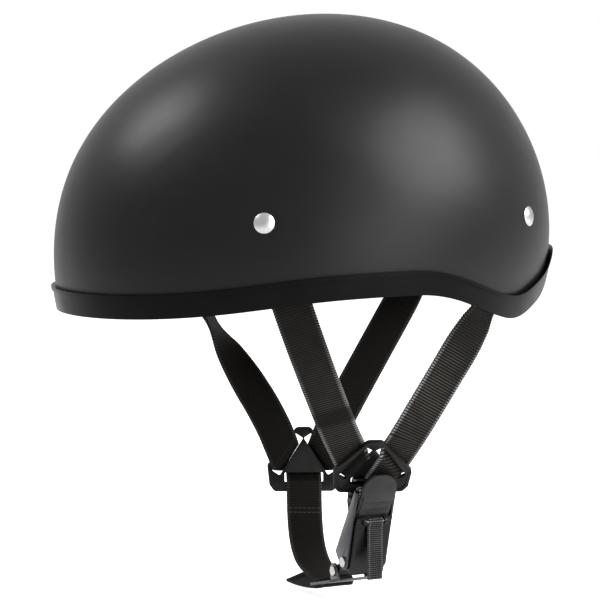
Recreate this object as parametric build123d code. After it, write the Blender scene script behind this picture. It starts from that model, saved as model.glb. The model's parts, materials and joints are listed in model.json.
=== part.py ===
from build123d import *
import math
import os

# Half shell helmet with a Y strap harness and a ratchet chin buckle. Millimetres.
# +X is the wearer's left, -Y is the front, +Z is up.
# The origin is at the centre of the head opening, level with the front rim's lower edge.

# Outer skin of the shell: an ellipsoid with gentle swellings of its side profile
SHELL_HALF_WIDTH = 112.0
SHELL_HALF_LENGTH = 136.0
SHELL_HALF_HEIGHT = 129.5
SHELL_CENTRE_BACK = 0.6
SHELL_CENTRE_UP = 30.0
CROWN_LEAN = 6.0          # leans the crown towards the back
BROW_SWELL = 1.4
NAPE_SWELL = 1.5
CROWN_FLATTEN = 1.5
SKIRT_ANGLE = 125.0       # how far round from the crown the skins are drawn, past the rim
GRID_COUNT = 21
CORNER_DRAW_SHARE = 0.2   # draws the corners of the square grid towards its middle

# Layers, from the outside inwards
SHELL_WALL = 3.0
LINER_WALL = 22.0
GLUE_GAP = 0.3
LINING_THICK = 1.0
PAD_DEPTH = 7.0
PAD_EDGE_SHARE = 0.35     # what is left of a pad's depth at its seam

# Comfort pads: the turn about the crown and the rise of their edges, in degrees
CROWN_PAD_ANGLE = 24.0
BROW_PAD_SPAN = 74.0
BROW_PAD_LOW = -9.0
BROW_PAD_HIGH = 6.0
SIDE_PAD_FRONT = -30.0
SIDE_PAD_BACK = 24.0
SIDE_PAD_LOW = -4.0
SIDE_PAD_HIGH = 13.0
NAPE_PAD_SPAN = 62.0
NAPE_PAD_LOW = -7.0
NAPE_PAD_HIGH = 8.0
PAD_COUNT = 9

# Rim, seen from the side, the same on both sides
ARCH_RISE = 14.3          # top of the ear arch above the front rim
RIM_SHARES = (
    (-1.06, 0.0), (-0.82, 0.08), (-0.47, 0.43), (-0.15, 0.84), (0.17, 1.0), (0.30, 0.97), (0.47, 0.57),
    (0.64, -0.04), (0.70, -0.17), (0.76, -0.13), (0.84, 0.18), (0.91, 0.55), (0.95, 0.93), (1.06, 1.35),
)

# Edge trim, a U that clips over the shell's edge
TRIM_PROUD = 1.6
TRIM_BASE = 1.8
TRIM_HEIGHT = 12.5
TRIM_INNER_HEIGHT = 9.0
TRIM_INNER_WALL = 1.5
BEAD_PROUD = 0.9
BEAD_HEIGHT = 2.0

# Webbing
WEB_WIDTH = 20.0
WEB_THICK = 1.6
WEB_BEND = 1.4            # radius of its middle line where it folds
SOFT_GAP = 0.3

# Strap anchors: rivet, anchor plate, webbing and washer. Turn about the crown from +X, and rise, in degrees
FRONT_RIVET = (-17.7, 9.8)
REAR_RIVET = (44.6, 5.6)
LEFT_FRONT_EXIT = (-11.1, -8.0)
LEFT_REAR_EXIT = (33.6, -15.0)
RIGHT_FRONT_EXIT = (-14.0, -8.0)
RIGHT_REAR_EXIT = (38.5, -15.0)
RIVET_HEAD_RADIUS = 5.25
RIVET_HEAD_HEIGHT = 1.7
RIVET_SHANK_RADIUS = 2.4
RIVET_TAIL_RADIUS = 4.0
RIVET_TAIL_HEIGHT = 1.4
RIVET_HOLE_GAP = 0.1
ANCHOR_SIZE = 20.0
ANCHOR_THICK = 1.2
ANCHOR_CORNER = 5.0
ANCHOR_GAP = 0.75         # lets a flat plate lie against the hollow of the shell
ANCHOR_WEB_GAP = 0.25
WASHER_RADIUS = 7.5
WASHER_THICK = 1.0
WASHER_GAP = 0.4
STACK_GAP = 0.1
STRAP_TOP = 9.0           # webbing that stands above the rivet
POCKET_SIDE = 3.0         # room beside the webbing in the liner's channel
POCKET_DEPTH = 9.0        # depth of the channel from the shell's inner face
POCKET_FOOT = 14.0        # channel below where the webbing leaves the rim
RUN_COUNT = 4
FREE_COUNT = 6
FRONT_PULL_SHARE = 0.6    # how far a strap keeps its way at its free length's ends, as a share of that length
REAR_PULL_SHARE = 0.3
FRONT_TURN_SHARE = 0.6    # the part of the free length in which it turns to lie flat on the divider
REAR_TURN_SHARE = 0.35
RIGHT_FRONT_TWIST = (0, 35, 60, 35, 10, 0, 0)

# Y dividers: a plate with two slanted slots and a level one
DIVIDER_HALF_WIDTH = 21.0
DIVIDER_HALF_HEIGHT = 18.5
DIVIDER_THICK = 2.2
DIVIDER_TOP_WIDTH = 8.0
DIVIDER_CORNER = 3.0
DIVIDER_SHOULDER_DOWN = 3.0
DIVIDER_HIP_DOWN = 14.5
DIVIDER_HIP_IN = 1.2
DIVIDER_FOOT_IN = 4.0
SLOT_WIDTH = 5.2
SLOT_LENGTH = 25.4
SLOT_CORNER = 0.8
SLOT_LEAN = 32.8          # a slanted slot's turn from upright
SLOT_SIDE = 9.2           # its middle, from the divider's middle line
SLOT_UP = 2.8
LEVEL_SLOT_WIDTH = 5.4
LEVEL_SLOT_LENGTH = 22.2
LEVEL_SLOT_DOWN = 10.4
EDGE_BEAD_WIDTH = 1.6     # raised edge round the divider
EDGE_BEAD_PROUD = 0.6
STRAP_LEAN = 22.0         # the upper straps' turn from upright, in the divider's plane
STRAP_LEAD = 17.0         # webbing that lies flat before it reaches a slanted slot
STRAP_SLIP = 1.8          # webbing lies this far down a slanted slot from its middle
MITRE_GAP = 0.3
CHIN_START = 6.9          # chin webbing on the divider's face, below its middle
CHIN_PULL_SHARE = 0.8
ARRIVE_SHARE = 0.4        # where the webbing is in line with the buckle, on its way from the divider
BAR_CLEAR = 1.2           # chin webbing runs this far past the divider's edge before it turns

# Where the dividers hang
LEFT_DIVIDER_SIDE = 60.3
LEFT_DIVIDER_BACK = 23.6
LEFT_DIVIDER_DOWN = 80.2
LEFT_DIVIDER_PITCH = 37.0
RIGHT_DIVIDER_SIDE = 64.0
RIGHT_DIVIDER_BACK = 19.3
RIGHT_DIVIDER_DOWN = 95.5
RIGHT_DIVIDER_PITCH = 12.0
LEFT_DIVIDER_YAW = -10.0  # turned towards the front from facing straight out
RIGHT_DIVIDER_YAW = 12.0
BUCKLE_YAW = 12.0

# Ratchet buckle. Its profile plane has x up along the floor and y outwards, from the lever's pin
LEVER_PIN_SIDE = 47.8
LEVER_PIN_BACK = 22.0
LEVER_PIN_DOWN = 133.0
BUCKLE_PITCH = 31.2
CASE_WIDTH = 24.0
CASE_WALL = 1.2
CASE_FOOT = 1.0           # floor below the lever's pin
CASE_REACH = 41.0         # floor above the lever's pin
FLOOR_DEPTH = 10.0        # back of the floor behind the lever's pin
CHEEK_EAR_RADIUS = 4.2
CHEEK_KNEE_UP = 20.5
CHEEK_KNEE_IN = 1.9
CHEEK_TOP_RISE = 2.6
CASE_SLOT_UP = 25.0
CASE_SLOT_WIDTH = 5.4
CASE_SLOT_LENGTH = 21.0
LOOP_END = 33.0           # sewn end of the webbing behind the floor's end bar
TONGUE_WIDTH = 20.0
TONGUE_THICK = 1.8
TONGUE_BACK = 6.6         # back of the tongue behind the lever's pin
TONGUE_FOOT = 6.0         # straight part of the tongue below the lever's pin
TONGUE_TIP_UP = 52.0
TONGUE_TIP_DROP = 2.0
TONGUE_TIP_RUN = 8.0
TONGUE_TIP_RADIUS = 8.0
TOOTH_PITCH = 4.4
TOOTH_RISE = 1.3
TOOTH_COUNT = 8
TOOTH_TOP_UP = 42.0
PIN_RADIUS = 2.0
PIN_HEAD_RADIUS = 2.8
PIN_HEAD_THICK = 0.8
PIN_GAP = 0.08
EYE_RADIUS = 3.4
EYE_WIDTH = 18.6
TONGUE_PIN_UNDER = 13.2   # the tongue's pin below the lever's pin, along the floor
TONGUE_PIN_IN = 7.5

# Release lever, its pin cross and its spring
LEVER_WIDTH = 20.6
LEVER_FOOT = 3.6
LEVER_FOOT_OUT = 6.3
LEVER_TOP_UP = 28.4
LEVER_TOP_IN = 1.0
LEVER_UNDER = 3.0         # underside behind the lever's pin
LEVER_HEEL_RADIUS = 3.2
PAWL_UP = 10.9
PAWL_LENGTH = 1.5
PAWL_TIP = 4.2            # tip of the pawl behind the lever's pin
RIBBON_PIN_UP = 26.6
RIBBON_PIN_IN = 0.6
RIBBON_PIN_RADIUS = 0.8
RIBBON_PIN_GAP = 0.1
RIBBON_EAR_RADIUS = 1.8
RIBBON_EAR_WIDTH = 14.4
RIBBON_WIDTH = 9.0
RIBBON_THICK = 2.0
RIBBON_LOOP_THICK = 1.0
RIBBON_LENGTH = 31.0
LEVER_MOUTH_DOWN = 20.0
LEVER_MOUTH_WIDTH = 10.4
SPRING_WIRE_RADIUS = 0.35
SPRING_TURNS = 5
SPRING_WIDTH = 5.0
SPRING_CLEAR = 0.06
SPRING_POCKET_WIDTH = 7.0
SPRING_POCKET_RADIUS = 3.9

# Strap plate under the chin. Its plane has x outwards and y up, from the tongue's pin
PLATE_WIDTH = 28.0
PLATE_THICK = 1.4
PLATE_LENGTH = 28.0
PLATE_OUTER = 3.0         # plate outward of the tongue's pin
PLATE_DROP = 4.7          # plate's top below the tongue's pin
PLATE_SLOPE = 14.0
PLATE_CORNER = 3.0
PLATE_SLOT_LENGTH = 22.0
PLATE_SLOT_WIDTH = 4.6
PLATE_BAR = 4.4
EAR_RADIUS = 4.3
EAR_THICK = 1.2
EAR_GAP = 0.3
TAIL_LENGTH = 36.0
TAIL_RISE = 5.0
ARRIVE_RUN = 12.0
ARRIVE_RISE = 5.5

HALF_TURN = 180.0
# One overrun for every cut that goes right through
OVERRUN = 60.0
REACH = 260.0             # past the helmet on every side

LEFT_DIVIDER = Vector(LEFT_DIVIDER_SIDE, LEFT_DIVIDER_BACK, -LEFT_DIVIDER_DOWN)
RIGHT_DIVIDER = Vector(RIGHT_DIVIDER_SIDE, RIGHT_DIVIDER_BACK, -RIGHT_DIVIDER_DOWN)
STRAP_DEPTH = SHELL_WALL + ANCHOR_GAP + ANCHOR_THICK + ANCHOR_WEB_GAP + WEB_THICK / 2
WEB_LEVEL = DIVIDER_THICK / 2 + SOFT_GAP + WEB_THICK / 2
FLOOR_TOP = -FLOOR_DEPTH + CASE_WALL
TONGUE_FACE = -TONGUE_BACK + TONGUE_THICK
LINER_INSIDE = SHELL_WALL + LINER_WALL


# Dome


def dome_point(normal, offset):
    """The point of the outer skin where it faces along normal, moved out by offset."""
    x, y, z = normal.X, normal.Y, normal.Z
    size = Vector(x * SHELL_HALF_WIDTH, y * SHELL_HALF_LENGTH, z * SHELL_HALF_HEIGHT).length
    point = Vector(x * SHELL_HALF_WIDTH**2, y * SHELL_HALF_LENGTH**2, z * SHELL_HALF_HEIGHT**2) / size
    point += Vector(0, SHELL_CENTRE_BACK, SHELL_CENTRE_UP)
    side = complex(y, z)
    brow_and_nape = complex(BROW_SWELL, -NAPE_SWELL)
    for order, swelling in ((2, complex(0, -CROWN_LEAN)), (3, brow_and_nape), (4, complex(0, CROWN_FLATTEN))):
        height = (swelling * side**order).real
        slope = order * swelling * side ** (order - 1)
        point += normal * ((1 - order) * height) + Vector(0, slope.real, -slope.imag)
    return point + normal * offset


def facing(turn, rise):
    """Unit normal turned about the crown from +X, and raised."""
    turn = math.radians(turn)
    rise = math.radians(rise)
    return Vector(math.cos(rise) * math.cos(turn), math.cos(rise) * math.sin(turn), math.sin(rise))


def grid_normal(across, along, angle):
    """Normal for a place on a square about the crown, whose edges lie at angle from it."""
    side = across * (1 - CORNER_DRAW_SHARE * along**2)
    back = along * (1 - CORNER_DRAW_SHARE * across**2)
    reach = math.hypot(side, back)
    if reach < 1 / GRID_COUNT**2:
        return Vector(0, 0, 1)
    turn = math.radians(angle) * reach
    return Vector(math.sin(turn) * side / reach, math.sin(turn) * back / reach, math.cos(turn))


def steps(count):
    """Evenly spaced places from -1 to 1."""
    return [2 * index / (count - 1) - 1 for index in range(count)]


def skin(offset):
    """The whole outer skin moved out by offset, as one smooth face."""
    places = steps(GRID_COUNT)
    return Face.make_surface_from_array_of_points(
        [[dome_point(grid_normal(a, b, SKIRT_ANGLE), offset) for b in places] for a in places]
    )


def between(outer_face, inner_face):
    """Closed solid between two like faces, with ruled walls round their edges."""
    walls = []
    for edge in outer_face.edges():
        partner = min(inner_face.edges(), key=lambda other: (other.center() - edge.center()).length)
        walls.append(Face.make_surface_from_curves(edge, partner))
    return Solid(Shell([outer_face, inner_face] + walls))


def layer(outer, inner):
    return between(skin(outer), skin(inner))


def above_rim(lift):
    """Everything above the rim's curve raised by lift."""
    points = [(0, along * SHELL_HALF_LENGTH, up * ARCH_RISE + lift) for along, up in RIM_SHARES]
    front = points[0]
    back = points[-1]
    walls = Polyline(back, (0, back[1], REACH), (0, front[1], REACH), front)
    outline = Wire([Spline(*points).edge()] + list(walls.edges()))
    return extrude(Face(outline), amount=REACH, both=True, dir=(1, 0, 0))


def rim_band(low, high):
    return above_rim(low) - above_rim(high)


# Small tools


def mirrored(shape):
    return mirror(shape, about=Plane.YZ)


def across_middle(vector):
    return Vector(-vector.X, vector.Y, vector.Z)


def profile(plane, points, width):
    """A straight sided profile drawn in a plane, thickened by width about it."""
    return extrude(plane * make_face(Polyline(*points, close=True)), amount=width / 2, both=True)


def round_bar(plane, x, y, radius, width):
    """Round bar square to a plane, centred on it."""
    return plane * Pos(x, y) * Cylinder(radius, width)


def folded_web(plane, points, width=WEB_WIDTH, thick=WEB_THICK):
    """Webbing that folds about lines square to a plane, along rounded points in it."""
    path = FilletPolyline(*points, radius=WEB_BEND)
    return extrude(plane * trace(path, line_width=thick), amount=width / 2, both=True)


def ways_along(centres):
    """Directions of a smooth line through a row of places."""
    legs = [after - before for before, after in zip(centres, centres[1:])]
    ways = []
    for before, after in zip(legs, legs[1:]):
        share = after.length / before.length
        ways.append((before * share + after * (1 / share)).normalized())
    first = (legs[0].normalized() * 2 - ways[0]).normalized()
    last = (legs[-1].normalized() * 2 - ways[-1]).normalized()
    return [first] + ways + [last]


def web_run(centres, acrosses, ways=None, width=WEB_WIDTH, thick=WEB_THICK):
    """Webbing lofted along a row of places, each with its own width direction."""
    sections = []
    for centre, along, across in zip(centres, ways or ways_along(centres), acrosses):
        square = (across - along * across.dot(along)).normalized()
        sections.append(Plane(origin=centre, x_dir=square, z_dir=along) * Rectangle(width, thick))
    return loft(sections)


def smooth_run(start, start_way, end, end_way, pull):
    """Places on a smooth curve that leaves and arrives along the given ways."""
    points = []
    reach = (end - start).length * pull
    for index in range(FREE_COUNT + 1):
        part = index / FREE_COUNT
        rest = 1 - part
        points.append(
            start * (rest**2 * (1 + 2 * part)) + end * (part**2 * (1 + 2 * rest))
            + start_way * (reach * part * rest**2) - end_way * (reach * part**2 * rest)
        )
    return points


def blended(start, end, turn_share=1):
    """Width directions that turn smoothly from start to end within a share of the run."""
    turns = []
    for index in range(FREE_COUNT + 1):
        part = min(1, index / FREE_COUNT / turn_share)
        turns.append(start + (end - start) * (part**2 * (3 - 2 * part)))
    return turns


def twisted(acrosses, centres, angles):
    """Width directions turned further about the way along by the given angles, in degrees."""
    return [
        across.rotate(Axis((0, 0, 0), along), angle)
        for across, along, angle in zip(acrosses, ways_along(centres), angles)
    ]


# Shell, trim, liner and pads


def anchor_plane(rivet):
    """Plane on the outer skin at a left rivet, facing out, its y roughly up."""
    normal = facing(*rivet)
    return Plane(origin=dome_point(normal, 0), x_dir=Vector(0, 0, 1).cross(normal), z_dir=normal)


def rivet_bore(rivet, gap):
    return anchor_plane(rivet) * Cylinder(RIVET_SHANK_RADIUS + gap, OVERRUN / 2)


def rivet_bores():
    """Bores for the four rivets, as one shape."""
    left = [rivet_bore(rivet, RIVET_HOLE_GAP) for rivet in (FRONT_RIVET, REAR_RIVET)]
    return left + [mirrored(bore) for bore in left]


def outer_shell():
    shape = layer(0, -SHELL_WALL) & above_rim(TRIM_BASE)
    for bore in rivet_bores():
        shape -= bore
    return shape


def edge_trim():
    """U section round the rim, cut from one thick band so that its bead stands proud of its outer leg."""
    inside = SHELL_WALL + TRIM_INNER_WALL
    bead_face = TRIM_PROUD + BEAD_PROUD
    shape = layer(bead_face, -inside) & rim_band(0, TRIM_HEIGHT)
    shape -= layer(0, -SHELL_WALL) & above_rim(TRIM_BASE)
    shape -= layer(-SHELL_WALL, -inside - TRIM_INNER_WALL) & above_rim(TRIM_INNER_HEIGHT)
    below_bead = rim_band(-TRIM_BASE, TRIM_HEIGHT - BEAD_HEIGHT)
    return shape - (layer(bead_face + BEAD_PROUD, TRIM_PROUD) & below_bead)


def strap_channel(rivet, leave):
    """Room in the liner's outer face for one strap and its rivet."""
    centres, normals = inside_run(rivet, leave, SHELL_WALL + POCKET_DEPTH / 2)
    way = (centres[-1] - centres[-2]).normalized()
    centres.append(centres[-1] + way * POCKET_FOOT)
    normals.append(normals[-1])
    centres.insert(0, centres[0] * 2 - centres[1])
    normals.insert(0, normals[0])
    acrosses = [normal.cross(way) for normal in normals]
    return web_run(centres, acrosses, width=WEB_WIDTH + 2 * POCKET_SIDE, thick=POCKET_DEPTH)


def impact_liner():
    shape = layer(-SHELL_WALL - GLUE_GAP, -LINER_INSIDE) & above_rim(TRIM_BASE)
    leg = SHELL_WALL + TRIM_INNER_WALL + GLUE_GAP
    shape -= layer(0, -leg) & (above_rim(-TRIM_BASE) - above_rim(TRIM_INNER_HEIGHT + GLUE_GAP))
    for rivet, leave in ((FRONT_RIVET, LEFT_FRONT_EXIT), (REAR_RIVET, LEFT_REAR_EXIT)):
        shape -= strap_channel(rivet, leave)
    for rivet, leave in ((FRONT_RIVET, RIGHT_FRONT_EXIT), (REAR_RIVET, RIGHT_REAR_EXIT)):
        shape -= mirrored(strap_channel(rivet, leave))
    return shape


def comfort_lining():
    depth = LINER_INSIDE + SOFT_GAP
    return layer(-depth, -depth - LINING_THICK) & above_rim(TRIM_BASE)


def cushion(normal_at):
    """Pad on the lining: flat against it, crowned inside, drawn in at its seams."""
    back = LINER_INSIDE + LINING_THICK + 2 * SOFT_GAP
    outer = []
    inner = []
    for a in steps(PAD_COUNT):
        crowns = [(1 - a**4) * (1 - b**4) for b in steps(PAD_COUNT)]
        depths = [PAD_DEPTH * (PAD_EDGE_SHARE + (1 - PAD_EDGE_SHARE) * crown) for crown in crowns]
        normals = [normal_at(a, b) for b in steps(PAD_COUNT)]
        outer.append([dome_point(normal, -back) for normal in normals])
        inner.append([dome_point(normal, -back - depth) for normal, depth in zip(normals, depths)])
    return between(
        Face.make_surface_from_array_of_points(outer), Face.make_surface_from_array_of_points(inner)
    )


def banded_pad(front, back, low, high):
    """Pad between two turns and two rises."""
    def normal_at(a, b):
        turn = (front + back) / 2 + a * (back - front) / 2
        return facing(turn, (low + high) / 2 + b * (high - low) / 2)
    return cushion(normal_at)


def comfort_pads():
    middle = 90.0
    side = banded_pad(SIDE_PAD_FRONT, SIDE_PAD_BACK, SIDE_PAD_LOW, SIDE_PAD_HIGH)
    half = BROW_PAD_SPAN / 2
    nape_half = NAPE_PAD_SPAN / 2
    return {
        "crown_pad": cushion(lambda a, b: grid_normal(a, b, CROWN_PAD_ANGLE)),
        "brow_pad": banded_pad(-middle - half, -middle + half, BROW_PAD_LOW, BROW_PAD_HIGH),
        "nape_pad": banded_pad(middle - nape_half, middle + nape_half, NAPE_PAD_LOW, NAPE_PAD_HIGH),
        "left_side_pad": side,
        "right_side_pad": mirrored(side),
    }


# Strap anchors


def strap_rivet(rivet):
    """Domed head outside, and a closed end under the washer."""
    under = -STRAP_DEPTH - WEB_THICK / 2 - WASHER_GAP - WASHER_THICK
    foot = under - RIVET_TAIL_HEIGHT
    sphere = (RIVET_HEAD_RADIUS**2 + RIVET_HEAD_HEIGHT**2) / (2 * RIVET_HEAD_HEIGHT)
    half_turn = math.asin(RIVET_HEAD_RADIUS / sphere) / 2
    shoulder = (sphere * math.sin(half_turn), RIVET_HEAD_HEIGHT - sphere + sphere * math.cos(half_turn))
    dome = ThreePointArc((RIVET_HEAD_RADIUS, 0), shoulder, (0, RIVET_HEAD_HEIGHT))
    sides = Polyline(
        (0, RIVET_HEAD_HEIGHT), (0, foot), (RIVET_TAIL_RADIUS, foot), (RIVET_TAIL_RADIUS, under),
        (RIVET_SHANK_RADIUS, under), (RIVET_SHANK_RADIUS, 0), (RIVET_HEAD_RADIUS, 0),
    )
    half = make_face([dome.edge()] + list(sides.edges()))
    return anchor_plane(rivet) * revolve(Plane.XZ * half, axis=Axis.Z)


def anchor_plate(rivet):
    plate = extrude(RectangleRounded(ANCHOR_SIZE, ANCHOR_SIZE, ANCHOR_CORNER), amount=-ANCHOR_THICK)
    plate -= Cylinder(RIVET_SHANK_RADIUS + RIVET_HOLE_GAP, ANCHOR_SIZE)
    return anchor_plane(rivet) * Pos(0, 0, -SHELL_WALL - ANCHOR_GAP) * plate


def strap_washer(rivet):
    washer = Cylinder(WASHER_RADIUS, WASHER_THICK, align=(Align.CENTER, Align.CENTER, Align.MAX))
    washer -= Cylinder(RIVET_SHANK_RADIUS + RIVET_HOLE_GAP, WASHER_RADIUS)
    return anchor_plane(rivet) * Pos(0, 0, -STRAP_DEPTH - WEB_THICK / 2 - WASHER_GAP) * washer


# Straps and dividers


def inside_run(rivet, leave, depth):
    """Middle line of a strap down the inside of the shell, and the ways its face looks."""
    run = (dome_point(facing(*rivet), 0) - dome_point(facing(*leave), 0)).length
    centres = []
    normals = []
    for part in [-STRAP_TOP / run] + [index / RUN_COUNT for index in range(RUN_COUNT + 1)]:
        normals.append(
            facing(rivet[0] + part * (leave[0] - rivet[0]), rivet[1] + part * (leave[1] - rivet[1]))
        )
        centres.append(dome_point(normals[-1], -depth))
    return centres, normals


def divider_plane(place, pitch, yaw):
    """Plane of a divider, as if on the left: x backwards, y up, z outwards."""
    yaw = math.radians(yaw)
    pitch = math.radians(pitch)
    out = Vector(math.cos(yaw), math.sin(yaw), 0)
    back = Vector(-math.sin(yaw), math.cos(yaw), 0)
    return Plane(origin=place, x_dir=back, z_dir=out * math.cos(pitch) - Vector(0, 0, math.sin(pitch)))


def divider_outline():
    top = DIVIDER_TOP_WIDTH / 2
    hip = DIVIDER_HALF_WIDTH - DIVIDER_HIP_IN
    foot = DIVIDER_HALF_WIDTH - DIVIDER_FOOT_IN
    right = [
        (top, DIVIDER_HALF_HEIGHT), (DIVIDER_HALF_WIDTH, -DIVIDER_SHOULDER_DOWN), (hip, -DIVIDER_HIP_DOWN),
        (foot, -DIVIDER_HALF_HEIGHT),
    ]
    left = [(-x, y) for x, y in reversed(right)]
    outline = make_face(Polyline(*right, *left, close=True))
    return fillet(outline.vertices(), DIVIDER_CORNER)


def divider(plane):
    """Plate with two slanted slots and a level one, and a raised edge on its outer face."""
    outline = divider_outline()
    plate = extrude(outline, amount=DIVIDER_THICK / 2, both=True)
    ring = outline - offset(outline, -EDGE_BEAD_WIDTH)
    plate += extrude(Pos(0, 0, DIVIDER_THICK / 2) * ring, amount=EDGE_BEAD_PROUD)
    for side in (-1, 1):
        slot = Pos(side * SLOT_SIDE, SLOT_UP) * Rot(0, 0, side * SLOT_LEAN) * Rot(0, 0, 90)
        slot *= RectangleRounded(SLOT_LENGTH, SLOT_WIDTH, SLOT_CORNER)
        plate -= extrude(slot, amount=DIVIDER_THICK * 2, both=True)
    level = Pos(0, -LEVEL_SLOT_DOWN) * RectangleRounded(LEVEL_SLOT_LENGTH, LEVEL_SLOT_WIDTH, SLOT_CORNER)
    plate -= extrude(level, amount=DIVIDER_THICK * 2, both=True)
    return plane * plate


def way_band(start, way, spare):
    """Everything within a strap's width along its way from start, widened by spare."""
    turn = math.degrees(math.atan2(way.Y, way.X))
    low = (Align.MIN, Align.CENTER, Align.CENTER)
    return Pos(*start) * Rot(0, 0, turn) * Box(OVERRUN, WEB_WIDTH + 2 * spare, OVERRUN, align=low)


def slot_crossing(side):
    """Webbing that lies behind a divider, comes through a slanted slot and lies on the face.

    It is drawn in the divider's own plane. side is -1 for the front slot and 1 for the back one.
    The back strap crosses the middle, and the front one is cut off beside it.
    """
    lean = math.radians(STRAP_LEAN)
    way = Vector(-side * math.sin(lean), -math.cos(lean), 0)
    middle = Vector(side * SLOT_SIDE, SLOT_UP, 0)
    path = FilletPolyline(
        (side * OVERRUN, -WEB_LEVEL), (side * WEB_LEVEL, -WEB_LEVEL),
        (-side * WEB_LEVEL, WEB_LEVEL), (-side * OVERRUN, WEB_LEVEL), radius=WEB_BEND,
    )
    sheet = extrude(Plane.XZ * trace(path, line_width=WEB_THICK), amount=OVERRUN, both=True)
    sheet = Pos(*middle) * Rot(0, 0, side * SLOT_LEAN) * sheet
    slot_lean = math.radians(SLOT_LEAN)
    down = Vector(side * math.sin(slot_lean), -math.cos(slot_lean), 0)
    start = middle + down * STRAP_SLIP - way * STRAP_LEAD
    above_chin = Pos(0, -CHIN_START + MITRE_GAP) * Box(
        OVERRUN * 2, OVERRUN * 2, OVERRUN, align=(Align.CENTER, Align.MIN, Align.CENTER)
    )
    flap = sheet & way_band(start, way, 0) & above_chin
    if side < 0:
        flap -= way_band(across_middle(start), across_middle(way), MITRE_GAP)
    return flap, start, way


def upper_strap(plane, side, rivet, leave, twist=(0,) * (FREE_COUNT + 1)):
    """Strap from its rivet, down inside the shell, and through a slanted slot."""
    crossing, start, way = slot_crossing(side)
    centres, normals = inside_run(rivet, leave, STRAP_DEPTH)
    acrosses = [normal.cross(centres[0] - centres[-1]).normalized() for normal in normals]
    end = plane.from_local_coords(start + Vector(0, 0, -WEB_LEVEL))
    end_way = plane.from_local_coords(way) - plane.origin
    end_across = plane.from_local_coords(Vector(-way.Y, way.X, 0)) - plane.origin
    if end_across.dot(acrosses[-1]) < 0:
        end_across = -end_across
    leave_way = (centres[-1] - centres[-2]).normalized()
    free = smooth_run(centres[-1], leave_way, end, end_way, FRONT_PULL_SHARE if side < 0 else REAR_PULL_SHARE)
    turns = blended(acrosses[-1], end_across, FRONT_TURN_SHARE if side < 0 else REAR_TURN_SHARE)
    turns = twisted(turns, free, twist)
    run = web_run(centres + free[1:], acrosses + turns[1:])
    run -= rivet_bore(rivet, RIVET_HOLE_GAP)
    return run + plane * crossing


# Buckle


def buckle_plane():
    """Profile plane of the buckle: x up along the floor, y outwards, z backwards."""
    yaw = math.radians(BUCKLE_YAW)
    pitch = math.radians(BUCKLE_PITCH)
    out = Vector(math.cos(yaw), math.sin(yaw), 0)
    back = Vector(-math.sin(yaw), math.cos(yaw), 0)
    along = out * math.sin(pitch) + Vector(0, 0, math.cos(pitch))
    return Plane(origin=(LEVER_PIN_SIDE, LEVER_PIN_BACK, -LEVER_PIN_DOWN), x_dir=along, z_dir=back)


def plate_plane(buckle):
    """Profile plane of the strap plate: x outwards, y up, z forwards, from the tongue's pin."""
    yaw = math.radians(BUCKLE_YAW)
    slope = math.radians(PLATE_SLOPE)
    out = Vector(math.cos(yaw), math.sin(yaw), 0)
    forward = Vector(math.sin(yaw), -math.cos(yaw), 0)
    along = out * math.cos(slope) + Vector(0, 0, math.sin(slope))
    origin = buckle.from_local_coords(Vector(-TONGUE_PIN_UNDER, -TONGUE_PIN_IN, 0))
    return Plane(origin=origin, x_dir=along, z_dir=forward)


def buckle_case(buckle):
    """Steel channel: a floor with a strap slot, and two cheeks that hold the lever's pin."""
    cheek = [
        (CASE_REACH, -FLOOR_DEPTH), (-CASE_FOOT, -FLOOR_DEPTH), (-CHEEK_EAR_RADIUS, 0), (0, CHEEK_EAR_RADIUS),
        (CHEEK_KNEE_UP, -CHEEK_KNEE_IN), (CASE_REACH, -FLOOR_DEPTH + CHEEK_TOP_RISE),
    ]
    shape = profile(buckle, cheek, CASE_WIDTH) + round_bar(buckle, 0, 0, CHEEK_EAR_RADIUS, CASE_WIDTH)
    inside = CASE_WIDTH - 2 * CASE_WALL
    shape -= buckle * Pos(0, FLOOR_TOP) * Box(
        OVERRUN * 2, OVERRUN, inside, align=(Align.CENTER, Align.MIN, Align.CENTER)
    )
    shape -= round_bar(buckle, 0, 0, PIN_RADIUS + PIN_GAP, CASE_WIDTH * 2)
    slot = Box(CASE_SLOT_WIDTH, CASE_WALL * 4, CASE_SLOT_LENGTH)
    return shape - buckle * Pos(CASE_SLOT_UP, -FLOOR_DEPTH) * slot


def headed_pin(plane, x, y, grip):
    """Pin with a flat head outside each cheek."""
    width = grip + 2 * STACK_GAP
    shape = round_bar(plane, x, y, PIN_RADIUS, width)
    for side in (-1, 1):
        head = Cylinder(PIN_HEAD_RADIUS, PIN_HEAD_THICK)
        outer = head.faces().sort_by(Axis.Z, reverse=side < 0)[-1]
        head = chamfer(outer.edges(), PIN_HEAD_THICK / 3)
        shape += plane * Pos(x, y, side * (width + PIN_HEAD_THICK) / 2) * head
    return shape


def lever_line(up):
    """How far out the lever's face lies at a place up from its pin."""
    share = (up + LEVER_FOOT) / (LEVER_TOP_UP + LEVER_FOOT)
    return LEVER_FOOT_OUT + share * (-LEVER_TOP_IN - LEVER_FOOT_OUT)


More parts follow.
